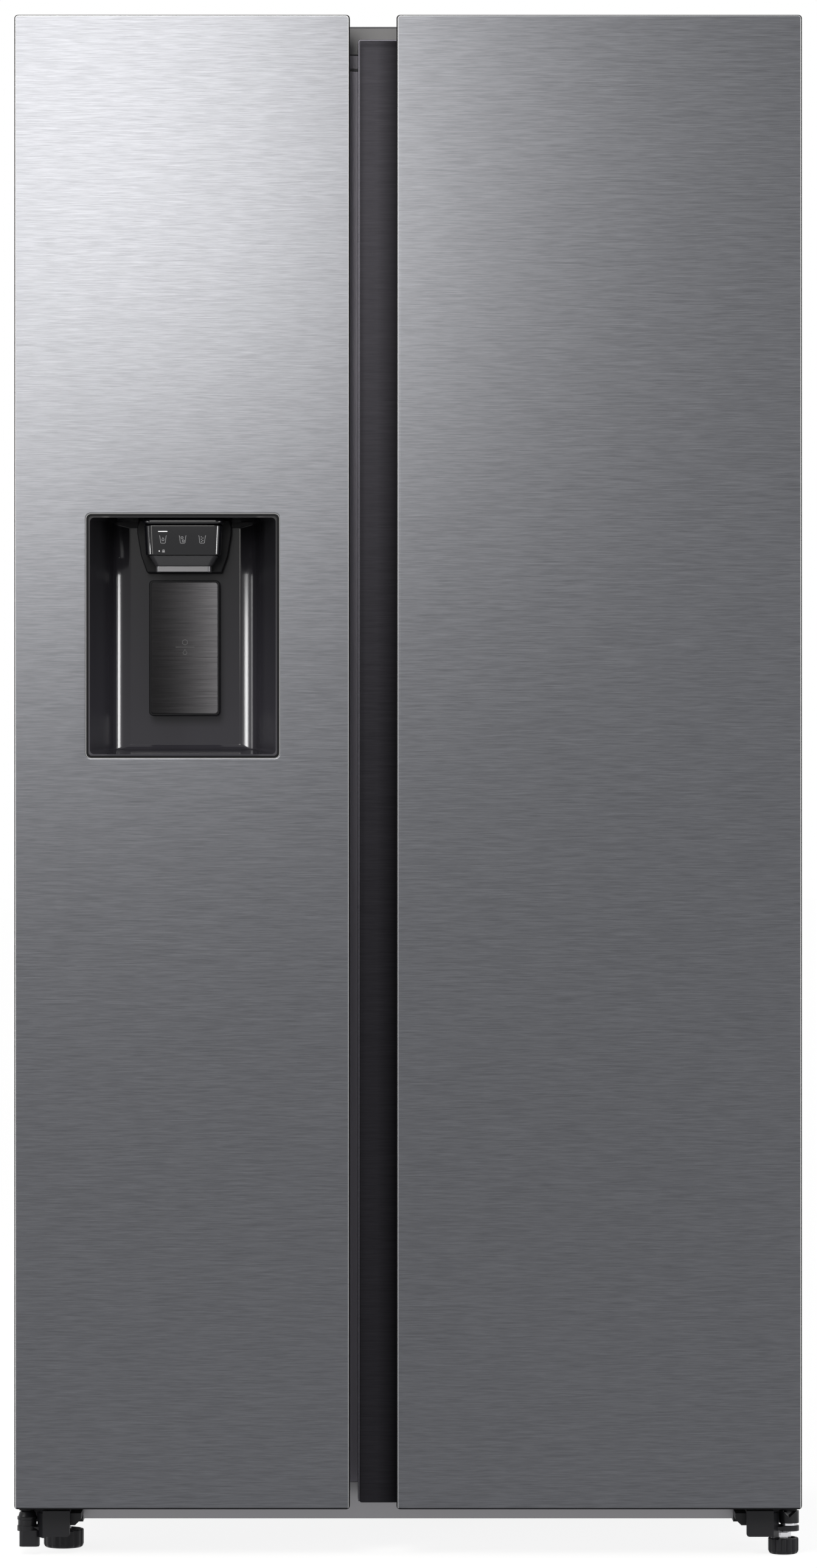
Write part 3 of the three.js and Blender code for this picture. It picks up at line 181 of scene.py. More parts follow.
def brushed(name, color, roughness, contrast=0.17, fineness=1.0, fade=None):
    """Metal brushed along the horizontal, with long scratches and fine grain."""
    look = Look(name, color, roughness, Metallic=1.0, Anisotropic=BRUSHING["anisotropy"],
                Anisotropic_Rotation=BRUSHING["quarter_turn"])
    tangent = look.add("ShaderNodeTangent", direction_type="RADIAL", axis="Z")
    look.link(tangent.outputs["Tangent"], look.inputs["Tangent"])
    scratches = look.noise((14, 14, 520 * fineness), detail=4, rough=0.7)
    grain = look.noise((40 / fineness, 40 / fineness, 1300 * fineness), detail=3, rough=0.6)
    mix = look.add("ShaderNodeMath", operation="MULTIPLY_ADD")
    mix.inputs[1].default_value = BRUSHING["grain_share"]
    look.link(grain, mix.inputs[0])
    share = look.add("ShaderNodeMath", operation="MULTIPLY")
    share.inputs[1].default_value = BRUSHING["scratch_share"]
    look.link(scratches, share.inputs[0])
    look.link(share.outputs["Value"], mix.inputs[2])
    both = mix.outputs["Value"]
    ramp = look.tint(both, scaled(color, 1 - contrast), scaled(color, 1 + contrast),
                     BRUSHING["darkest"], BRUSHING["palest"])
    if fade:
        look.fade(ramp, *fade)
    look.gloss(scratches, roughness - BRUSHING["gloss_range"], roughness + BRUSHING["gloss_range"])
    look.relief(both, 0.03 * MM, 0.5)
    return look


def moulded(name, color, roughness, grain=900, depth=0.02, variation=0.008, fade=None,
            even_gloss=False, **sockets):
    """Moulded plastic with a fine grain and faint flow marks."""
    look = Look(name, color, roughness, **sockets)
    flow = look.noise((MOULDING["flow"],) * 3, detail=2)
    ramp = look.tint(flow, scaled(color, 1 - variation), scaled(color, 1 + variation))
    if fade:
        look.fade(ramp, *fade)
    skin = look.noise((grain, grain, grain), detail=2)
    look.relief(skin, depth * MM, 0.4)
    if not even_gloss:
        look.gloss(flow, roughness - MOULDING["gloss_range"], roughness + MOULDING["gloss_range"])
    return look


def well_plastic(name, color, smooth, rough):
    """Black plastic of the dispenser's well, rougher on its side walls, with painted shade: darker towards
    its top, under its ceiling and the hood.
    """
    look = moulded(name, color, smooth, grain=300, depth=0.002, fade=("Z", 1.19, 0.95, 0.2),
                   even_gloss=True, Specular_IOR_Level=0.24)
    place = look.add("ShaderNodeSeparateXYZ")
    look.link(look.point, place.inputs["Vector"])
    across = look.add("ShaderNodeMath", operation="SUBTRACT")
    across.inputs[1].default_value = RECESS.x * MM
    look.link(place.outputs["X"], across.inputs[0])
    aside = look.add("ShaderNodeMath", operation="ABSOLUTE")
    look.link(across.outputs["Value"], aside.inputs[0])
    walls = look.spread(aside.outputs["Value"], smooth, rough, WELL_WALLS["smooth_to"],
                        WELL_WALLS["rough_from"])
    look.link(walls, look.inputs["Roughness"])
    return look


def painted(name, color, roughness, **sockets):
    """Paint on sheet steel: orange peel, a faint unevenness of tone and a soft gloss."""
    look = Look(name, color, roughness, **sockets)
    tone = look.noise((3, 3, 3), detail=3)
    look.tint(tone, scaled(color, 1 - PAINTING["tone_range"]), scaled(color, 1 + PAINTING["tone_range"]))
    look.relief(look.noise((PAINTING["peel"],) * 3, detail=1), 0.03 * MM, 0.35)
    look.gloss(tone, roughness - PAINTING["gloss_range"], roughness + PAINTING["gloss_range"])
    return look


def see_through(name, color, roughness, ior, haze=0.02):
    """Clear plastic or glass, with faint scuffs in its gloss."""
    look = Look(name, color, roughness, Transmission_Weight=1.0, IOR=ior)
    scuffs = look.noise((30, 30, 30), detail=5, rough=0.7)
    look.gloss(scuffs, roughness, roughness + haze)
    look.tint(scuffs, scaled(color, 0.985), color)
    return look


def zinc(name, color, roughness):
    """Galvanised sheet: spangle cells of slightly different tone and gloss."""
    look = Look(name, color, roughness, Metallic=0.9)
    spangle = look.cells(90)
    look.tint(spangle, scaled(color, 0.86), scaled(color, 1.08), 0.1, 0.9)
    look.gloss(look.noise((60, 60, 60), detail=3), roughness - 0.06, roughness + 0.08)
    look.relief(look.noise((250, 250, 250), detail=2), 0.02 * MM, 0.3)
    return look


STEEL = (0.0955, 0.0975, 0.1065)
DARK_STEEL = (0.0147, 0.0142, 0.0166)
LOOKS = {
    "steel": brushed("Brushed steel", STEEL, 0.305),
    # painted shade: the grip's steel darkens towards its right end, in the shade of the fridge door's face
    "dark_steel": brushed("Dark brushed steel", DARK_STEEL, 0.334, contrast=0.16,
                          fade=("X", -0.0135, -0.036, 0.30)),
    # painted highlight: white line along the doors' outer edges
    "painted_edge_highlight": painted("Painted edge highlight", (0.74, 0.74, 0.75), 0.40),
    # painted highlight: pale ring round the dispenser's black rim
    "painted_rim_highlight": painted("Rim painted highlight", (0.27, 0.27, 0.275), 0.42),
    # steel with a painted highlight: paler fold along the doors' top and inner edges
    "fold_steel_highlight": painted("Folded steel painted highlight", (0.40, 0.405, 0.42), 0.305, Metallic=0.25),
    # painted highlight: a paler copy of the grip's dark steel, for the fold along its edges
    "grip_edge_highlight": brushed("Grip edge painted highlight", scaled(DARK_STEEL, 4.6), 0.334, contrast=0.1),
    "silver": brushed("Plated steel", (0.58, 0.58, 0.60), 0.24, contrast=0.06),
    # painted shade: the paddle's plate darkens towards its left side
    "paddle_steel": brushed("Paddle steel", (0.0525, 0.0515, 0.0545), 0.334, contrast=0.4, fineness=2.0,
                            fade=("X", -0.302, -0.222, 0.13, 2.0)),
    "case": painted("Cabinet paint", (0.080, 0.080, 0.087), 0.42),
    "cover": painted("Cover plastic", (0.066, 0.064, 0.072), 0.34),
    "strip": painted("Front strip paint", (0.170, 0.162, 0.188), 0.40, Metallic=0.8),
    # painted light: the head flange lighter and more metallic than the cabinet paint, against the shade
    # between the doors
    "flange": painted("Head flange paint painted lighter", (0.135, 0.129, 0.148), 0.40, Metallic=0.6),
    "rail": painted("Base rail paint", (0.20, 0.198, 0.207), 0.30, Metallic=1.0),
    "zinc": zinc("Galvanised steel", (0.42, 0.43, 0.44), 0.42),
    "bracket": painted("Black bracket", (0.010, 0.010, 0.012), 0.40, Specular_IOR_Level=0.22),
    "enamel": painted("Compressor enamel", (0.010, 0.010, 0.011), 0.25, Coat_Weight=0.4),
    "door_side": moulded("Door side plastic", (0.005, 0.005, 0.006), 0.45, Specular_IOR_Level=0.07),
    "piano": moulded("Gloss black plastic", (0.004, 0.004, 0.0055), 0.07, grain=200, depth=0.002,
                     Specular_IOR_Level=0.35),
    "satin": well_plastic("Satin black plastic", (0.037, 0.0355, 0.0435), 0.12, 0.5),
    "chin": moulded("Chin plastic", (0.030, 0.030, 0.033), 0.30, Specular_IOR_Level=0.4),
    "chute": moulded("Chute plastic", (0.085, 0.084, 0.09), 0.30, Metallic=0.4),
    "print": painted("Pale print", (0.80, 0.80, 0.82), 0.5),
    "dim_print": painted("Grey print", (0.19, 0.19, 0.20), 0.5),
    "dark_print": painted("Dark print", (0.022, 0.022, 0.024), 0.5),
    "black": moulded("Black plastic", (0.007, 0.007, 0.009), 0.42, Specular_IOR_Level=0.22),
    "white": moulded("White plastic", (0.78, 0.79, 0.80), 0.28, depth=0.012),
    "trim": moulded("Satin trim", (0.56, 0.57, 0.58), 0.30, grain=600, depth=0.004),
    "ice_grey": moulded("Grey plastic", (0.42, 0.44, 0.46), 0.35),
    "clear": see_through("Clear plastic", (0.93, 0.955, 0.965), 0.05, 1.49, 0.05),
    "lens": see_through("Lamp lens", (0.95, 0.96, 0.96), 0.45, 1.45),
    "glass": see_through("Shelf glass", (0.90, 0.955, 0.935), 0.0, 1.52),
    "rubber": moulded("Gasket rubber", (0.23, 0.23, 0.24), 0.62, grain=500, depth=0.03),
    "aluminium": zinc("Aluminium", (0.60, 0.61, 0.62), 0.34),
    "foam": moulded("Foam", (0.75, 0.66, 0.42), 0.9, grain=300, depth=0.3, variation=0.06),
}
NODE_LOOKS = {
    "case_wrap": "case",
    "back_panel": "zinc",
    "base_frame": "rail",
    "insulation_foam": "foam",
    "freezer_liner": "white",
    "fridge_liner": "white",
    "mullion_cover": "strip",
    "top_front_cover": "cover",
    "freezer_duct_cover": "white",
    "fridge_duct_cover": "white",
    "evaporator": "aluminium",
    "compressor": "enamel",
    "condenser": "bracket",
    "drain_pan": "black",
    "machine_cover": "zinc",
    "lower_hinge_left": "bracket",
    "lower_hinge_right": "bracket",
    "upper_hinge_left": "zinc",
    "upper_hinge_right": "zinc",
    "freezer_door_skin": "steel",
    "fridge_door_skin": "steel",
    "freezer_door_body": "door_side",
    "fridge_door_body": "door_side",
    "fridge_door_grip": "dark_steel",
    "freezer_door_liner": "white",
    "fridge_door_liner": "white",
    "freezer_door_gasket": "rubber",
    "fridge_door_gasket": "rubber",
    "dispenser_recess": "piano",
    "dispenser_hood": "piano",
    "dispenser_paddle": "satin",
    "ice_flap": "black",
    "ice_maker_frame": "white",
    "ice_tray": "ice_grey",
    "ice_bucket": "clear",
    "ice_auger": "aluminium",
    "evaporator_fan": "black",
    "condenser_fan": "black",
    "leveling_foot_left": "black",
    "leveling_foot_right": "black",
    "rear_roller_left": "black",
    "rear_roller_right": "black",
}
LOOKS_BY_START = {"freezer_shelf": "glass", "fridge_shelf": "glass", "freezer_drawer": "clear",
                  "crisper": "clear", "freezer_bin": "clear", "fridge_bin": "clear"}


def look_of(node):
    if node in NODE_LOOKS:
        return LOOKS[NODE_LOOKS[node]]
    return next(LOOKS[look] for start, look in LOOKS_BY_START.items() if node.startswith(start))


WELD = 0.01 * MM
SMOOTH_BELOW = 38  # degrees between two faces


def soften(thing, width, segments=2):
    """Rounds the sharp edges of an object as it is shown."""
    modifier = thing.modifiers.new("soft edges", "BEVEL")
    modifier.width = width
    modifier.segments = segments
    modifier.limit_method = "ANGLE"
    modifier.angle_limit = math.radians(SMOOTH_BELOW)


def keep_flat(thing):
    """Large faces keep their own normal, so that reflections in them stay straight."""
    thing.modifiers.new("flat faces stay flat", "WEIGHTED_NORMAL").keep_sharp = True


def softened_edges():
    """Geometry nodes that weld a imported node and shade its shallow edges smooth."""
    group = bpy.data.node_groups.new("weld and smooth", "GeometryNodeTree")
    for way in ("INPUT", "OUTPUT"):
        group.interface.new_socket("Geometry", in_out=way, socket_type="NodeSocketGeometry")
    start = group.nodes.new("NodeGroupInput")
    end = group.nodes.new("NodeGroupOutput")
    weld = group.nodes.new("GeometryNodeMergeByDistance")
    weld.inputs["Distance"].default_value = WELD
    plain = group.nodes.new("GeometryNodeRemoveAttribute")
    plain.inputs["Name"].default_value = "custom_normal"
    faces = group.nodes.new("GeometryNodeSetShadeSmooth")
    edges = group.nodes.new("GeometryNodeSetShadeSmooth")
    edges.domain = "EDGE"
    angle = group.nodes.new("GeometryNodeInputMeshEdgeAngle")
    shallow = group.nodes.new("FunctionNodeCompare")
    shallow.operation = "LESS_THAN"
    shallow.inputs["B"].default_value = math.radians(SMOOTH_BELOW)
    route = (start, weld, plain, faces, edges, end)
    for before, after in zip(route, route[1:]):
        group.links.new(before.outputs[0], after.inputs[0])
    group.links.new(angle.outputs["Unsigned Angle"], shallow.inputs["A"])
    group.links.new(shallow.outputs[0], edges.inputs["Shade Smooth"])
    return group


ROUNDING = {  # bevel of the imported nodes' own edges, in millimetres; the rest get the last one
    "freezer_door_skin": 0, "fridge_door_skin": 0, "fridge_door_grip": 0.3, "mullion_cover": 0.3,
    "freezer_door_body": 0.15, "fridge_door_body": 0.15, "top_front_cover": 0.8,
    "evaporator": 0, "condenser": 0, "machine_cover": 0, "insulation_foam": 0, "case_wrap": 0.4,
    "lower_hinge_left": 0.5, "lower_hinge_right": 0.5, "other": 0.6,
}
smoother = softened_edges()
for name, node in NODES.items():
    node.data.materials.clear()
    node.data.materials.append(look_of(name).material)
    node.modifiers.new("weld and smooth", "NODES").node_group = smoother
    radius = ROUNDING.get(name, ROUNDING["other"])
    if radius:
        soften(node, radius * MM)
    keep_flat(node)


# ---------------------------------------------------------------- building pieces, in millimetres
def on_xy(u, v, w):
    return Vector((u, v, w))


def on_xz(u, v, w):
    return Vector((u, w, v))


def on_yz(u, v, w):
    return Vector((w, u, v))


def arc(cx, cy, radius, start, end, steps):
    """Points on an arc between two angles in degrees."""
    angles = [math.radians(start + (end - start) * i / steps) for i in range(steps + 1)]
    return [(cx + radius * math.cos(a), cy + radius * math.sin(a)) for a in angles]


def rounded(x0, x1, y0, y1, radius, steps=6):
    """Anticlockwise outline of a rectangle with rounded corners."""
    a, b, c, d = x0 + radius, x1 - radius, y0 + radius, y1 - radius
    corners = ((b, d, 0), (a, d, 90), (a, c, 180), (b, c, 270))
    return [p for x, y, turn in corners for p in arc(x, y, radius, turn, turn + 90, steps)]


def circle(cx, cy, radius, steps):
    return arc(cx, cy, radius, 0, 360 * (steps - 1) / steps, steps - 1)


def bezier(a, b, c, d, steps):
    """Points of a cubic curve between a and d."""
    points = []
    for i in range(steps + 1):
        t = i / steps
        k = ((1 - t) ** 3, 3 * t * (1 - t) ** 2, 3 * t * t * (1 - t), t ** 3)
        points.append(tuple(sum(w * p[n] for w, p in zip(k, (a, b, c, d))) for n in range(len(a))))
    return points


def quadratic(a, b, c, t):
    return tuple((1 - t) ** 2 * p + 2 * t * (1 - t) * q + t * t * r for p, q, r in zip(a, b, c))


class Form:
    """Closed bodies, collected in millimetres and turned into one piece."""

    def __init__(self):
        self.mesh = bmesh.new()

    def loft(self, rings, endless=False):
        """A body through rings of equal length, with flat ends unless it closes on itself."""
        rows = [[self.mesh.verts.new(Vector(point) * MM) for point in ring] for ring in rings]
        pairs = list(zip(rows, rows[1:])) + ([(rows[-1], rows[0])] if endless else [])
        for a, b in pairs:
            for k in range(len(a)):
                j = (k + 1) % len(a)
                self.mesh.faces.new((a[k], a[j], b[j], b[k]))
        if not endless:
            self.mesh.faces.new(rows[0][::-1])
            self.mesh.faces.new(rows[-1])
        return self

    def prism(self, outline, place, start, end):
        return self.loft([[place(u, v, w) for u, v in outline] for w in (start, end)])

    def block(self, x0, x1, y0, y1, z0, z1):
        return self.prism([(x0, y0), (x1, y0), (x1, y1), (x0, y1)], on_xy, z0, z1)

    def collar(self, outer, inner, place, start, end):
        """A prism with a hole; both outlines have the same number of points."""
        sides = ((inner, start), (outer, start), (outer, end), (inner, end))
        return self.loft([[place(u, v, w) for u, v in line] for line, w in sides], endless=True)

    def turned(self, profile, origin, axis="Z", steps=28):
        """A turned body about Z or Y: the profile is (radius, distance along the axis), end to end."""
        ox, oy, oz = origin
        rings = []
        for radius, along in profile:
            ring = circle(0, 0, max(radius, 0.01), steps)
            if axis == "Z":
                rings.append([(ox + u, oy + v, oz + along) for u, v in ring])
            else:
                rings.append([(ox + u, oy + along, oz + v) for u, v in ring])
        return self.loft(rings)

    def piece(self, name, look, body, slot=None, bevel=0.0, segments=2, sharp=32):
        """The piece, with soft edges, riding on its body."""
        bmesh.ops.recalc_face_normals(self.mesh, faces=self.mesh.faces)
        for face in self.mesh.faces:
            face.smooth = True
        for edge in self.mesh.edges:
            edge.smooth = edge.calc_face_angle(0) < math.radians(sharp)
        data = bpy.data.meshes.new(name)
        self.mesh.to_mesh(data)
        self.mesh.free()
        data.materials.append(LOOKS[look].material)
        made = bpy.data.objects.new(name, data)
        bpy.context.scene.collection.objects.link(made)
        if bevel:
            soften(made, bevel * MM, segments)
        keep_flat(made)
        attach(made, body)
        return made


def stroke(points, width):
    """Outline of an open line of that width, for printed marks."""
    left, right = [], []
    for i, (x, y) in enumerate(points):
        before, after = points[max(i - 1, 0)], points[min(i + 1, len(points) - 1)]
        dx, dy = after[0] - before[0], after[1] - before[1]
        length = math.hypot(dx, dy)
        nx, ny = -dy / length * width / 2, dx / length * width / 2
        left.append((x + nx, y + ny))
        right.append((x - nx, y - ny))
    return left + right[::-1]


def resized(outline, cx, cy, factor):
    return [(cx + (x - cx) * factor, cy + (y - cy) * factor) for x, y in outline]


# ---------------------------------------------------------------- edges of the doors, with painted highlights
EDGE = {"outline": -0.2, "start": 0.4, "line": 1.2, "margin": 2.6, "sill": 1.0, "proud": 0.01,
        "deep": 1.5, "corner": 4.0, "foot": 1.5, "sill_end": 2.0}
GRIP_FOLD = {"corner": 2.5, "near": 0.5, "far": 1.9, "chamfer": 0.4, "proud": 0.05, "foot": 3.0,
             "end": 1.0}


def edge_strip(name, look, body, route, front, near, far, chamfer=0.2, slot="brushed_steel"):
    """A flat strip that follows a route in the face y = front, from near to far inside the route."""
    rings = []
    for i, (x, z) in enumerate(route):
        before, after = route[max(i - 1, 0)], route[min(i + 1, len(route) - 1)]
        along = Vector((after[0] - before[0], after[1] - before[1])).normalized()
        inward = Vector((along.y, -along.x))
        section = ((near, EDGE["deep"]), (near, chamfer), (near + chamfer, 0), (far, 0),
                   (far, EDGE["deep"]))
        rings.append([(x + inward.x * across, front + depth, z + inward.y * across)
                      for across, depth in section])
    Form().loft(rings).piece(name, look, body, slot)


def door_edge(door, side):
    """Painted highlight on the fold round a door's face, white on its outer side and paler steel on the top
    and inner side: -1 is the left and 1 the right.
    """
    skin = Box(f"{door}_skin")
    r = EDGE["corner"]
    left = [(skin.x0, skin.z0 + EDGE["foot"]), (skin.x0, skin.z1 - r)]
    over = arc(skin.x0 + r, skin.z1 - r, r, 180, 90, 8) + arc(skin.x1 - r, skin.z1 - r, r, 90, 0, 8)
    right = [(skin.x1, skin.z1 - r), (skin.x1, skin.z0 + EDGE["foot"])]
    white, plain = (left, over + right[1:]) if side < 0 else (right, left[:1] + over)
    front = skin.y0 - EDGE["proud"]
    start, line, margin = EDGE["start"], EDGE["line"], EDGE["margin"]
    whole = left[:1] + over + right[1:]
    edge_strip(f"{door}_outline", "door_side", door, whole, front + 0.08, EDGE["outline"],
               start + 0.1)
    # painted highlights on the fold: white on the outer side, paler steel over the top and the inner side
    edge_strip(f"{door}_edge", "painted_edge_highlight", door, white, front, start, line)
    edge_strip(f"{door}_fold", "fold_steel_highlight", door, plain, front, start, line)
    edge_strip(f"{door}_margin", "steel", door, whole, front, line, margin, 0.01)
    sill = [(skin.x1 - EDGE["sill_end"], skin.z0), (skin.x0 + EDGE["sill_end"], skin.z0)]
    edge_strip(f"{door}_sill", "door_side", door, sill, front, EDGE["outline"], EDGE["sill"])


def grip_edge_highlight():
    """Painted highlight on the fold along the free side and the top of the grip, in a paler copy of its
    steel.
    """
    grip = Box("fridge_door_grip")
    r = GRIP_FOLD["corner"]
    route = [(grip.x0, grip.z0 + GRIP_FOLD["foot"]), (grip.x0, grip.z1 - r)]
    route += arc(grip.x0 + r, grip.z1 - r, r, 180, 90, 6)[1:]
    route.append((grip.x1 - GRIP_FOLD["end"], grip.z1))
    edge_strip("grip_fold_highlight", "grip_edge_highlight", "fridge_door", route, grip.y0 - GRIP_FOLD["proud"],
               GRIP_FOLD["near"], GRIP_FOLD["far"], GRIP_FOLD["chamfer"], "dark_brushed")


def head_flange():
    """The case's head flange where it shows between the doors, on a plate painted lighter than the cabinet
    paint: painted light against the shade between the doors.
    """
    plate = Form().block(-75, -54, -252.7, -251.8, 1737, 1752.4)
    plate.piece("head_flange_centre", "flange", "cabinet", "case_paint", 0.2)


door_edge("freezer_door", -1)
door_edge("fridge_door", 1)
grip_edge_highlight()
head_flange()

# ---------------------------------------------------------------- inside
SHELF = {"drop": 7.0, "glass": 5.0, "bar": 11.0, "ledge": 10.0}


def glass_shelf(node):
    """Glass pane with ground edges, a front bar with a lip over the glass, and a rear ledge."""
    shelf = Box(node)
    z = shelf.z0 + SHELF["drop"]
    x0, x1 = shelf.x0, shelf.x1
    front, back = shelf.y0, shelf.y1
    pane = Form().block(x0 + 0.6, x1 - 0.6, front + 4, back - 2, z, z + SHELF["glass"])
    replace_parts(pane.piece(f"{node}_pane", "glass", "cabinet", "shelf_glass", 0.5), node)
    deep = front + SHELF["bar"]
    outline = rounded(front, deep, z - 7, z + 8, 3)
    bar = Form().prism(outline, on_yz, x0, x1)
    bar.block(x0 + 1, x1 - 1, deep - 1, deep + 5, z - 2.4, z - 0.2)
    bar.block(x0 + 1, x1 - 1, deep - 1, deep + 3.5, z + 5.1, z + 6.6)
    bar.piece(f"{node}_bar", "trim", "cabinet", "shelf_glass", 0.4)
    line = Form().block(x0 + 3, x1 - 3, front - 0.25, front + 1, z + 1.6, z + 3.4)
    line.piece(f"{node}_line", "silver", "cabinet", "shelf_glass")
    ledge = Form().block(x0, x1, back - SHELF["ledge"], back, z - 0.1, z + 14)
    ledge.piece(f"{node}_ledge", "trim", "cabinet", "shelf_glass", 1.0)


def bin_rim(node, door):
    """Pale band round the upper edge of a door bin's bowed front."""
    tray = Box(node)
    bow, r, thick, height = 9, 16, 1.2, 11
    far = tray.y1
    curve = [(tray.x0, far - bow - r - 14), (tray.x0, far - bow - r)]
    ends = [(tray.x0 + r, far - bow + 2), (tray.x1 - r, far - bow + 2)]
    for i in range(1, 7):
        curve.append(quadratic(curve[1], (tray.x0, far - bow), ends[0], i / 6))
    for i in range(1, 13):
        curve.append(quadratic(ends[0], (tray.x, far + bow - 2), ends[1], i / 12))
    side = [(2 * tray.x - x, y) for x, y in curve[:8]]
    curve += side[::-1][1:]
    rings = []
    for i, (x, y) in enumerate(curve):
        before, after = curve[max(i - 1, 0)], curve[min(i + 1, len(curve) - 1)]
        along = Vector((after[0] - before[0], after[1] - before[1])).normalized()
        out = Vector((-along.y, along.x))
        inner = (x - out.x * 0.4, y - out.y * 0.4)
        outer = (x + out.x * thick * 0.4, y + out.y * thick * 0.4)
        low, high = tray.z1 - height, tray.z1 - 0.5
        rings.append([(*inner, low), (*outer, low), (*outer, high), (*inner, high)])
    Form().loft(rings).piece(f"{node}_rim", "trim", door, "clear_plastic", 0.3)


def lamp_lens(duct, half_x, half_y, y):
    """Frosted lens of the lamp in the ceiling above a compartment's shelves."""
    cover = Box(duct)
    rings = []
    for drop, inset in ((0.6, 0), (-3, 0), (-5.5, 3.5)):
        outline = rounded(cover.x - half_x + inset, cover.x + half_x - inset, y - half_y + inset,
                          y + half_y - inset, 12)
        rings.append([(u, v, cover.z1 + drop) for u, v in outline])
    name = duct.replace("duct_cover", "lamp")
    Form().loft(rings).piece(name, "lens", "cabinet", "clear_plastic", 0.6)


SCREW = {"from_edge": 9, "seat": 352, "hexagon": 3.6}


def back_screws():
    """Flanged hexagon screws round the back panel and the machine cover."""
    panel, cover = Box("back_panel"), Box("machine_cover")
    margin, seat = SCREW["from_edge"], SCREW["seat"]
    places = [(side * (panel.x1 - margin), z, seat) for side in (-1, 1) for z in range(290, 1741, 240)]
    places += [(x, panel.z1 - margin, seat) for x in (-330, -110, 110, 330)]
    places += [(side * x, z, cover.y1) for side in (-1, 1) for x in (440, 150) for z in (48, 232)]
    screws = Form()
    for x, z, y in places:
        screws.turned([(5.2, -0.2), (5.2, 0.5), (3.9, 0.9)], (x, y, z), "Y", 16)
        turns = [math.pi * i / 3 for i in range(6)]
        hexagon = [(x + SCREW["hexagon"] * math.cos(a), z + SCREW["hexagon"] * math.sin(a)) for a in turns]
        screws.prism(hexagon, on_xz, y + 0.7, y + 2.8)
    screws.piece("back_screws", "silver", "cabinet", "galvanised", 0.2, 1)


lamp_lens("freezer_duct_cover", 55, 30, -60)
lamp_lens("fridge_duct_cover", 110, 32, -60)
back_screws()
for node in NODES:
    if "_shelf_" in node:
        glass_shelf(node)
    if "_bin_" in node:
        bin_rim(node, node[:node.index("_bin_")] + "_door")

# ---------------------------------------------------------------- feet and hinges
FOOT = {"groove": 1.5, "ribs": 14, "cup": 5.5, "stem": 5.0, "pitch": 1.3}
PIN = {"x": 444, "y": -302, "below_top": 42.6}


def knob_ring(x, y, z, radius, groove):
    """Ribbed outline: wide ribs with narrow grooves between them."""
    ring = []
    steps = 10
    for i in range(FOOT["ribs"] * steps):
        angle = 2 * math.pi * i / (FOOT["ribs"] * steps)
        near = min(i % steps, steps - i % steps) / 2.5
        dip = max(0.0, 1 - near) ** 0.7 * groove
        ring.append((x + (radius - dip) * math.cos(angle), y + (radius - dip) * math.sin(angle), z))
    return ring


def leveling_foot(side, top, nut_radius, nut_top):
    """Ribbed knob, plated hexagon and threaded stem."""
    node = f"leveling_foot_{side}"
    box = Box(node)
    x, y = box.x, box.y
    radius = (box.x1 - box.x0) / 2 - 0.02
    groove = FOOT["groove"]
    floor = top - FOOT["cup"]
    profile = [(0, 3.4, 0), (0.5, 2.2, 0.2), (1.5, 1.0, 0.6), (3.2, 0.3, 1), (4.4, 0, 1),
               (top - 1.4, 0, 1), (top - 0.5, 0.3, 0.9), (top, 1.1, 0.5), (top, 3.2, 0),
               (top - 0.8, 3.9, 0), (floor, 4.3, 0)]  # height, step in from the radius, share of the groove
    knob = Form().loft([knob_ring(x, y, z, radius - step, groove * part) for z, step, part in profile])
    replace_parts(knob.piece(f"{node}_knob", "black", f"foot_{side}", "black_plastic", sharp=50), node)
    hexagon = Form().prism(circle(x, y, nut_radius, 6), on_xy, floor - 0.5, nut_top)
    hexagon.piece(f"{node}_nut", "silver", f"foot_{side}", "black_plastic", bevel=0.6, segments=3)
    thread = []
    z = nut_top - 1
    while z < box.z1 - 0.8:
        thread += [(FOOT["stem"] - 0.7, z), (FOOT["stem"], z + FOOT["pitch"] / 2)]
        z += FOOT["pitch"]
    Form().turned(thread + [(FOOT["stem"] - 0.8, box.z1)], (x, y, 0)).piece(
        f"{node}_thread", "silver", f"foot_{side}", "black_plastic", sharp=80)


def hinge_washers():
    """Plated washers over both eyes, and the shoulder of the fridge door's pin."""
    for side, sign, height in (("left", -1, 0.8), ("right", 1, 3.0)):
        hinge = Box(f"lower_hinge_{side}")
        x = sign * PIN["x"]
        z = hinge.z1 - PIN["below_top"]
        ring = [(8.0, z), (9.8, z), (10.1, z + 0.3), (10.1, z + height - 0.3), (9.8, z + height),
                (8.0, z + height)]
        Form().turned(ring, (x, PIN["y"], 0), steps=40).piece(
            f"hinge_washer_{side}", "silver", "cabinet", "black_steel", sharp=50)


leveling_foot("left", 21.3, 9.0, 24.0)
leveling_foot("right", 18.7, 9.2, 25.6)
hinge_washers()

# ---------------------------------------------------------------- dispenser in the freezer door
HOOD = Box("dispenser_hood")
PADDLE = Box("dispenser_paddle")
WELL = {"half": 108.0, "back": RECESS.y1 - 5, "floor": RECESS.z0 + 3.6, "ceiling": RECESS.z1 - 3.6,
        "skin": 1.4, "corner": 5.0, "corner_loss": 0.7, "floor_rise": 6.5, "floor_cove": 5.0,
        "cove_reach": 6.0, "ceiling_fall": 9.0, "fall_reach": 24.0}
LIP = {"corner": 5.0, "soft_corner": 4.8, "soft": 0.3, "step": 0.6, "thick": 1.6}
RIM_FRONT, RIM_BACK = RECESS.y0 - 0.25, RECESS.y0 + 0.5
BLACK_RIM = ((0.5, 5.6), (-1.9, 3.8))  # outer and inner outline: how far out of the recess, and corner
# painted highlight ring round the black rim, outlined the same way
HIGHLIGHT_RING = ((1.5, 6.6), (0.6, 5.7))


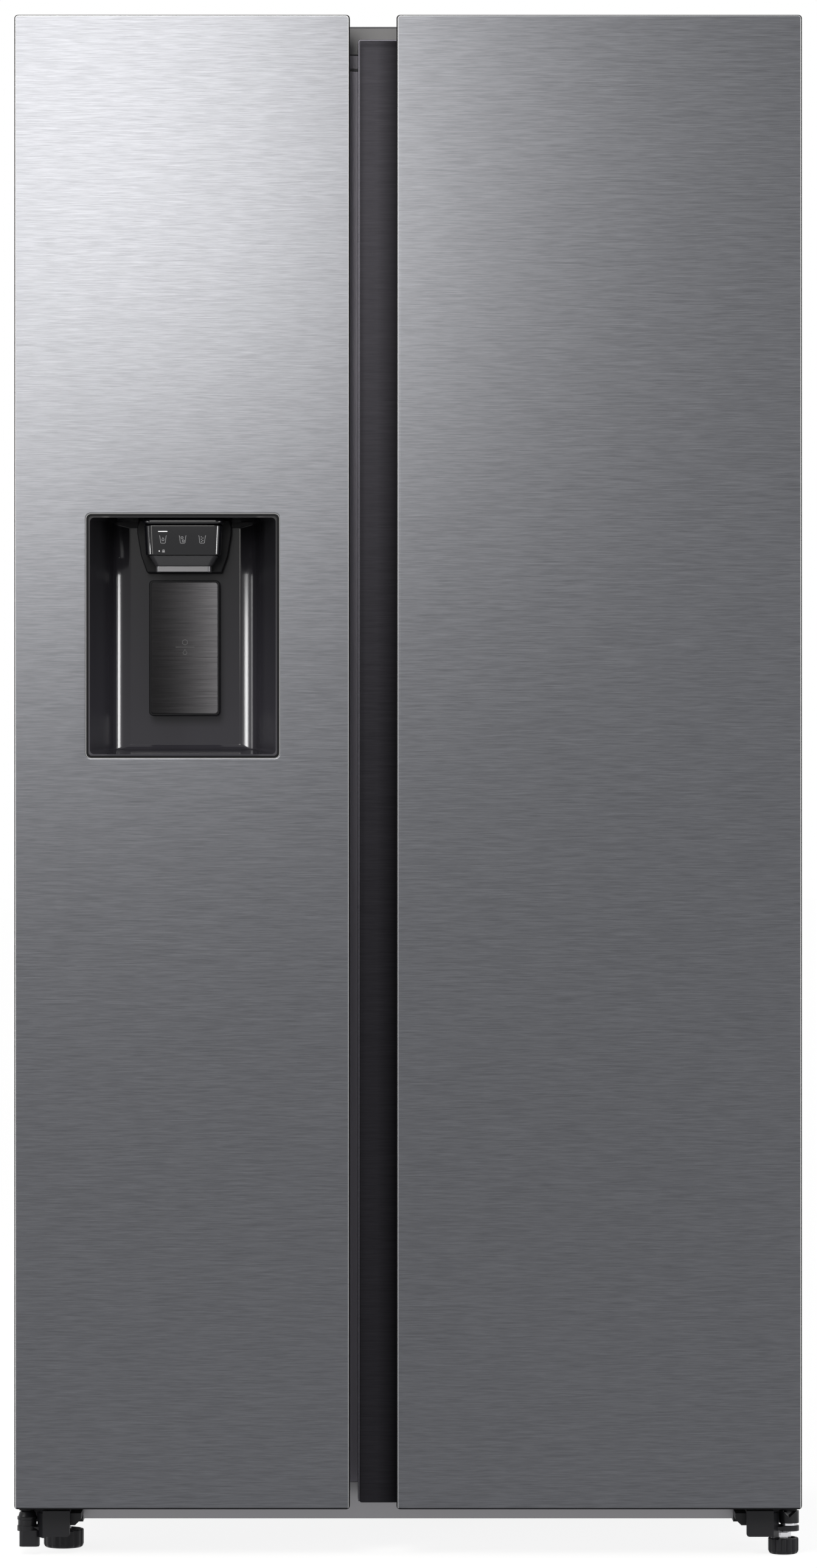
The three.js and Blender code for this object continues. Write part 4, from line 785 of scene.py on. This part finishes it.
def bend(start, end, steps):
    """A curve between two stations of the well's wall: half width, depth, and slope in degrees."""
    (x0, y0, slope0), (x1, y1, slope1) = start, end
    reach = math.hypot(x1 - x0, y1 - y0) / 3
    slope0, slope1 = math.radians(slope0), math.radians(slope1)
    first = (x0 - reach * math.cos(slope0), y0 + reach * math.sin(slope0))
    last = (x1 + reach * math.cos(slope1), y1 - reach * math.sin(slope1))
    return bezier((x0, y0), first, last, (x1, y1), steps)


def well_sections():
    """Sections of the moulded well, mouth to back: depth, half width, floor and ceiling."""
    front = RECESS.y0
    back = WELL["back"]
    mouth = WELL["half"] - 0.5
    stations = [(mouth, front, 80), (84.3, back - 11.6, 66), (79.0, back - 5.65, 28),
                (66.1, back - 0.45, 17), (63.0, back, 0)]
    wall = [(mouth, front)]
    for start, end, steps in zip(stations, stations[1:], (12, 8, 10, 5)):
        wall += bend(start, end, steps)[1:]
    sections = []
    for half, depth in wall:
        run = (depth - front) / (back - front)
        floor = WELL["floor"] + WELL["floor_rise"] * run
        near_back = max(0.0, 1 - (back - depth) / WELL["cove_reach"])
        floor += WELL["floor_cove"] * near_back ** 2
        falling = max(0.0, 1 - (back - depth) / WELL["fall_reach"])
        ceiling = WELL["ceiling"] - WELL["ceiling_fall"] * falling ** 2
        sections.append((depth, half, floor, ceiling))
    return sections


def dispenser_well():
    """Moulded shell with a flange round its mouth."""
    inner, outer = [], []
    for depth, half, floor, ceiling in well_sections():
        run = (depth - RECESS.y0) / (WELL["back"] - RECESS.y0)
        corner = WELL["corner"] * (1.0 - WELL["corner_loss"] * run)
        for rings, grow in ((inner, 0.0), (outer, WELL["skin"])):
            outline = rounded(RECESS.x - half - grow, RECESS.x + half + grow, floor - grow,
                              ceiling + grow, corner + grow)
            rings.append([on_xz(u, v, depth) for u, v in outline])
    last = [p + Vector((0, WELL["skin"], 0)) for p in outer[-1]]
    lip = rounded(RECESS.x0, RECESS.x1, RECESS.z0, RECESS.z1, LIP["corner"])
    soft = LIP["soft"]
    soft_lip = rounded(RECESS.x0 + soft, RECESS.x1 - soft, RECESS.z0 + soft, RECESS.z1 - soft,
                       LIP["soft_corner"])
    flange = [[on_xz(u, v, RECESS.y0 + depth) for u, v in line]
              for line, depth in ((lip, LIP["thick"]), (lip, LIP["step"]), (soft_lip, 0))]
    shell = Form()
    shell.loft([last, *outer[:0:-1], *flange, *inner])
    well = shell.piece("dispenser_well", "satin", "freezer_door", "gloss_black", sharp=50)
    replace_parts(well, "dispenser_recess")


def dispenser_trim():
    """Black edge of the well, and round it a pale ring: a painted highlight on the steel's rounded edge."""
    def ring(grow, radius):
        return rounded(RECESS.x0 - grow, RECESS.x1 + grow, RECESS.z0 - grow, RECESS.z1 + grow, radius)

    for name, look, slot, (outer, inner) in (
            ("dispenser_trim", "door_side", "gloss_black", BLACK_RIM),
            ("dispenser_highlight_ring", "painted_rim_highlight", "brushed_steel", HIGHLIGHT_RING)):
        rim = Form().collar(ring(*outer), ring(*inner), on_xz, RIM_FRONT, RIM_BACK)
        rim.piece(name, look, "freezer_door", slot, bevel=0.2)


FACE = {"half": 45.2, "front": HOOD.y0, "bottom": 1163.0, "top": 1197.6, "radius": 9.0, "taper": 1.7}
CAP = {"round": 3.9, "middle": 1202.1, "wider": 2.2}


def hood_plan(half, front, back, radius, z, steps=10):
    """Plan of the hood at one height: a block with rounded front corners."""
    left = arc(HOOD.x - half + radius, front + radius, radius, 180, 270, steps)
    right = arc(HOOD.x + half - radius, front + radius, radius, 270, 360, steps)
    return [on_xy(u, v, z) for u, v in [*left, *right, (HOOD.x + half, back), (HOOD.x - half, back)]]


def dispenser_cowl():
    """Hood with its touch face, its rounded cap and the flanks behind them."""
    half, front, radius = FACE["half"], FACE["front"], FACE["radius"]
    bottom, top = FACE["bottom"], FACE["top"]
    back = WELL["back"] - 4
    cowl = Form()
    touch = []
    for z, inset in ((bottom, 0.9), (bottom + 0.4, 0.3), (bottom + 1.2, 0), (top - 0.9, 0), (top, 0.6)):
        slope = FACE["taper"] * (top - z) / (top - bottom)
        touch.append(hood_plan(half - slope - inset, front + inset, back, radius, z))
    cowl.loft(touch)
    cap = []
    for a in range(-70, 91, 16):
        inset = CAP["round"] * (1 - math.cos(math.radians(a)))
        z = CAP["middle"] + CAP["round"] * math.sin(math.radians(a))
        cap.append(hood_plan(half + CAP["wider"] - inset, front - 0.6 + inset + 0.9, back, radius + 1, z))
    cowl.loft(cap)
    piece = cowl.piece("dispenser_cowl", "piano", "freezer_door", "gloss_black", sharp=40)
    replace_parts(piece, "dispenser_hood")
    flank = [(43.5, HOOD.z0), (50.5, 1164), (54.8, 1190), (54.8, 1198), (52.0, HOOD.z1 - 0.2)]
    outline = [(HOOD.x + x, z) for x, z in flank] + [(HOOD.x - x, z) for x, z in reversed(flank)]
    Form().prism(outline, on_xz, WELL["back"] - 27, WELL["back"] - 3).piece(
        "dispenser_flanks", "door_side", "freezer_door", "gloss_black", bevel=1.6, segments=3)


def dispenser_chute():
    """Chin under the panel, and the outlet in it."""
    chin = Form()
    chin.loft([hood_plan(32.5, FACE["front"] + 15, WELL["back"] - 8, 5, 1151),
               hood_plan(39.6, FACE["front"] + 4.5, WELL["back"] - 8, 6, 1162.6)])
    chin.piece("dispenser_chin", "chin", "freezer_door", "gloss_black", bevel=0.4)
    outlet = Form()
    x, front, back = HOOD.x, FACE["front"] + 17.5, WELL["back"] - 12
    mouth = rounded(x - 32, x + 32, front, back, 4)
    bore = rounded(x - 27.5, x + 27.5, front + 3, back - 3, 3)
    outlet.collar(mouth, bore, on_xy, HOOD.z0 + 0.2, 1151)
    outlet.piece("dispenser_outlet", "chute", "freezer_door", "gloss_black", bevel=0.5)


def dispenser_marks():
    """Pictograms on the touch panel: a bar, three cups with their contents, a dot and a padlock."""
    front = FACE["front"]
    bright, dim = Form(), Form()

    def put(form, outline):
        form.prism(outline, on_xz, front - 0.08, front + 0.2)

    def ring_mark(form, outline, cx, cz, inner):
        form.collar(outline, resized(outline, cx, cz, inner), on_xz, front - 0.08, front + 0.2)

    put(bright, rounded(HOOD.x - 28.8, HOOD.x - 18, 1189.8, 1190.9, 0.3, 2))
    put(bright, circle(HOOD.x - 27.5, 1167.6, 0.75, 12))
    for number, cx in enumerate((HOOD.x - 23.2, HOOD.x - 0.4, HOOD.x + 22.2)):
        cz = 1181.2
        cup = [(cx - 4.3, cz + 4.3), (cx - 3.7, cz + 4.1), (cx - 2.7, cz - 4.0), (cx - 2.0, cz - 4.4),
               (cx + 2.0, cz - 4.4), (cx + 2.7, cz - 4.0), (cx + 3.7, cz + 4.1), (cx + 4.3, cz + 4.3)]
        put(dim, stroke(cup, 0.55))
        if number == 0:
            drop = [(cx, cz + 2.6), (cx - 0.8, cz + 1.2)]
            drop += arc(cx, cz - 0.5, 1.55, 165, 375, 10) + [(cx + 0.8, cz + 1.2)]
            ring_mark(dim, drop, cx, cz - 0.3, 0.62)
        if number == 1:
            for dx, dz in ((-0.7, 1.9), (0.7, -1.8)):
                ring_mark(dim, circle(cx + dx, cz + dz, 1.6, 8), cx + dx, cz + dz, 0.6)
        if number == 2:
            for dx, dz in ((-1.0, 2.9), (0.9, 1.5), (-0.9, 0.1), (0.8, -1.4), (-0.6, -2.6)):
                put(dim, circle(cx + dx, cz + dz, 0.72, 4))
    lock = HOOD.x - 22.6
    put(dim, rounded(lock - 1.5, lock + 1.5, 1166.0, 1168.4, 0.3, 2))
    put(dim, stroke(arc(lock, 1168.4, 1.05, 0, 180, 8), 0.45))
    bright.piece("panel_marks_bright", "print", "freezer_door")
    dim.piece("panel_marks_dim", "dim_print", "freezer_door")


def paddle_plate():
    """Brushed plate in a black frame; the axle stays hidden behind them."""
    x, front = PADDLE.x, PADDLE.y0
    wide = 41.2

    def outline(inset, radius):
        return rounded(x - wide + inset, x + wide - inset, PADDLE.z0 + inset, PADDLE.z1 - inset, radius)

    frame_shape = [(2.4, 2.6, 6.2), (0.5, 4.2, 6.2), (0, 4.6, 5.6), (0, 4.6, 1.2), (0.35, 4.3, 0.3),
                   (0.9, 3.8, 0.02)]
    back = Form().loft([[on_xz(u, v, front + depth) for u, v in outline(inset, radius)]
                        for inset, radius, depth in frame_shape])
    back = back.piece("paddle_frame", "door_side", "paddle", "gloss_black", sharp=60)
    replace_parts(back, "dispenser_paddle")
    plate_shape = [(2.4, 3.4, 0.4), (2.4, 3.4, -0.12), (2.6, 3.3, -0.30), (3.1, 2.9, -0.40)]
    plate = Form().loft([[on_xz(u, v, front + depth) for u, v in outline(inset, radius)]
                         for inset, radius, depth in plate_shape])
    plate.piece("paddle_plate", "paddle_steel", "paddle", "dark_brushed", sharp=60)
    marks = Form()
    cx, cz = x + 0.6, 1057.5
    marks.prism(rounded(cx - 11, cx + 11, cz - 0.3, cz + 0.3, 0.25, 2), on_xz, front - 0.52, front)
    cube = [(cx, cz + 9.2), (cx - 3.1, cz + 7.4), (cx - 3.1, cz + 3.9), (cx, cz + 2.1),
            (cx + 3.1, cz + 3.9), (cx + 3.1, cz + 7.4)]
    marks.collar(cube, resized(cube, cx, cz + 5.65, 0.82), on_xz, front - 0.52, front)
    drop = [(cx, cz - 2.2), (cx - 1.5, cz - 4.9), *arc(cx, cz - 6.6, 2.5, 150, 390, 12),
            (cx + 1.5, cz - 4.9)]
    marks.collar(drop, resized(drop, cx, cz - 6.2, 0.78), on_xz, front - 0.52, front)
    marks.piece("paddle_marks", "dark_print", "paddle")


dispenser_well()
dispenser_trim()
dispenser_cowl()
dispenser_chute()
dispenser_marks()
paddle_plate()


# ---------------------------------------------------------------- studio
def light_path(tree):
    """1 for camera, glossy and transmission rays, which see the white studio, and 0 for the rest."""
    path = tree.nodes.new("ShaderNodeLightPath")
    total = path.outputs["Is Camera Ray"]
    for seen in ("Is Glossy Ray", "Is Transmission Ray"):
        add = tree.nodes.new("ShaderNodeMath")
        add.operation = "ADD"
        add.use_clamp = True
        tree.links.new(total, add.inputs[0])
        tree.links.new(path.outputs[seen], add.inputs[1])
        total = add.outputs["Value"]
    return total


AMBIENT = 0.38
FLOOR = {"reach": 40.0, "drop": 0.2, "pale": 0.80, "shadowed": 0.35, "glow": 0.86}


def studio_world():
    """White where it is seen or reflected, and dimmer as light on the object."""
    world = bpy.data.worlds.new("Studio")
    bpy.context.scene.world = world
    world.use_nodes = True
    tree = world.node_tree
    background = tree.nodes["Background"]
    background.inputs["Color"].default_value = (1, 1, 1, 1)
    strength = tree.nodes.new("ShaderNodeMapRange")
    strength.inputs["To Min"].default_value = AMBIENT
    strength.inputs["To Max"].default_value = 1.0
    tree.links.new(light_path(tree), strength.inputs["Value"])
    tree.links.new(strength.outputs["Result"], background.inputs["Strength"])


def studio_floor():
    """Pale floor that shows as white apart from the object's shadow."""
    mesh = bpy.data.meshes.new("studio_floor")
    r = FLOOR["reach"]
    z = CAD_BOX[0].z - FLOOR["drop"] * MM
    mesh.from_pydata([(-r, -r, z), (r, -r, z), (r, r, z), (-r, r, z)], [], [(0, 1, 2, 3)])
    floor = bpy.data.objects.new("studio_floor", mesh)
    bpy.context.scene.collection.objects.link(floor)
    material = bpy.data.materials.new("Studio floor")
    material.use_nodes = True
    tree = material.node_tree
    tree.nodes.remove(tree.nodes["Principled BSDF"])
    output = tree.nodes["Material Output"]
    pale = tree.nodes.new("ShaderNodeBsdfDiffuse")
    pale.inputs["Color"].default_value = (*[FLOOR["pale"]] * 3, 1)
    shadowed = tree.nodes.new("ShaderNodeBsdfDiffuse")
    shadowed.inputs["Color"].default_value = (*[FLOOR["shadowed"]] * 3, 1)
    glow = tree.nodes.new("ShaderNodeEmission")
    glow.inputs["Strength"].default_value = FLOOR["glow"]
    seen = tree.nodes.new("ShaderNodeAddShader")
    mix = tree.nodes.new("ShaderNodeMixShader")
    tree.links.new(shadowed.outputs[0], seen.inputs[0])
    tree.links.new(glow.outputs[0], seen.inputs[1])
    tree.links.new(light_path(tree), mix.inputs["Fac"])
    tree.links.new(pale.outputs[0], mix.inputs[1])
    tree.links.new(seen.outputs[0], mix.inputs[2])
    tree.links.new(mix.outputs[0], output.inputs["Surface"])
    mesh.materials.append(material)


def softbox(name, place, aim, width, height, power, color=(1, 1, 1), only_reflected=False):
    """A rectangular lamp that the camera doesn't see, or one that only shows in reflections."""
    data = bpy.data.lights.new(name, "AREA")
    data.color = color
    data.shape = "RECTANGLE"
    data.size, data.size_y = width, height
    data.energy = power
    lamp = bpy.data.objects.new(name, data)
    lamp.location = place
    lamp.rotation_mode = "QUATERNION"
    lamp.rotation_quaternion = (Vector(aim) - Vector(place)).to_track_quat("-Z", "Y")
    lamp.visible_camera = False
    lamp.visible_diffuse = not only_reflected
    bpy.context.scene.collection.objects.link(lamp)


WARM = (1, 0.985, 0.94)
AT_DISPENSER = (-0.26, -0.3, 1.07)
CARD = (0.28, 0.44)  # width and height
STRIP = (0.18, 1.9)


def studio_lamps():
    softbox("key", (-0.60, -3.136, 2.09), (-0.345, -0.358, 1.81), 1.00, 1.14, 47, WARM)
    softbox("low_key", (-0.80, -3.136, 1.33), (-0.62, -0.358, 1.20), 0.35, 0.45, 3.5, WARM)
    softbox("left_strip", (-2.3, -1.7, 1.0), (-0.2, -0.3, 1.0), *STRIP, 12)
    softbox("right_strip", (2.3, -1.7, 1.0), (0.2, -0.3, 1.0), *STRIP, 10)
    softbox("left_card", (-2.15, -2.35, 0.98), AT_DISPENSER, *CARD, 19, only_reflected=True)
    softbox("right_card", (1.90, -2.20, 1.04), AT_DISPENSER, *CARD, 20, only_reflected=True)


CAMERA = {"place": (0.0004, -7.358, 0.898), "lens": 139.0, "sensor": 36.0, "sees_to": 100}


def studio_camera():
    data = bpy.data.cameras.new("camera")
    data.lens = CAMERA["lens"]
    data.sensor_width = CAMERA["sensor"]
    data.clip_end = CAMERA["sees_to"]
    camera = bpy.data.objects.new("camera", data)
    camera.location = CAMERA["place"]
    camera.rotation_euler = (math.pi / 2, 0, 0)
    bpy.context.scene.collection.objects.link(camera)
    bpy.context.scene.camera = camera


studio_world()
studio_floor()
studio_lamps()
studio_camera()
bpy.context.scene.view_settings.view_transform = "Standard"
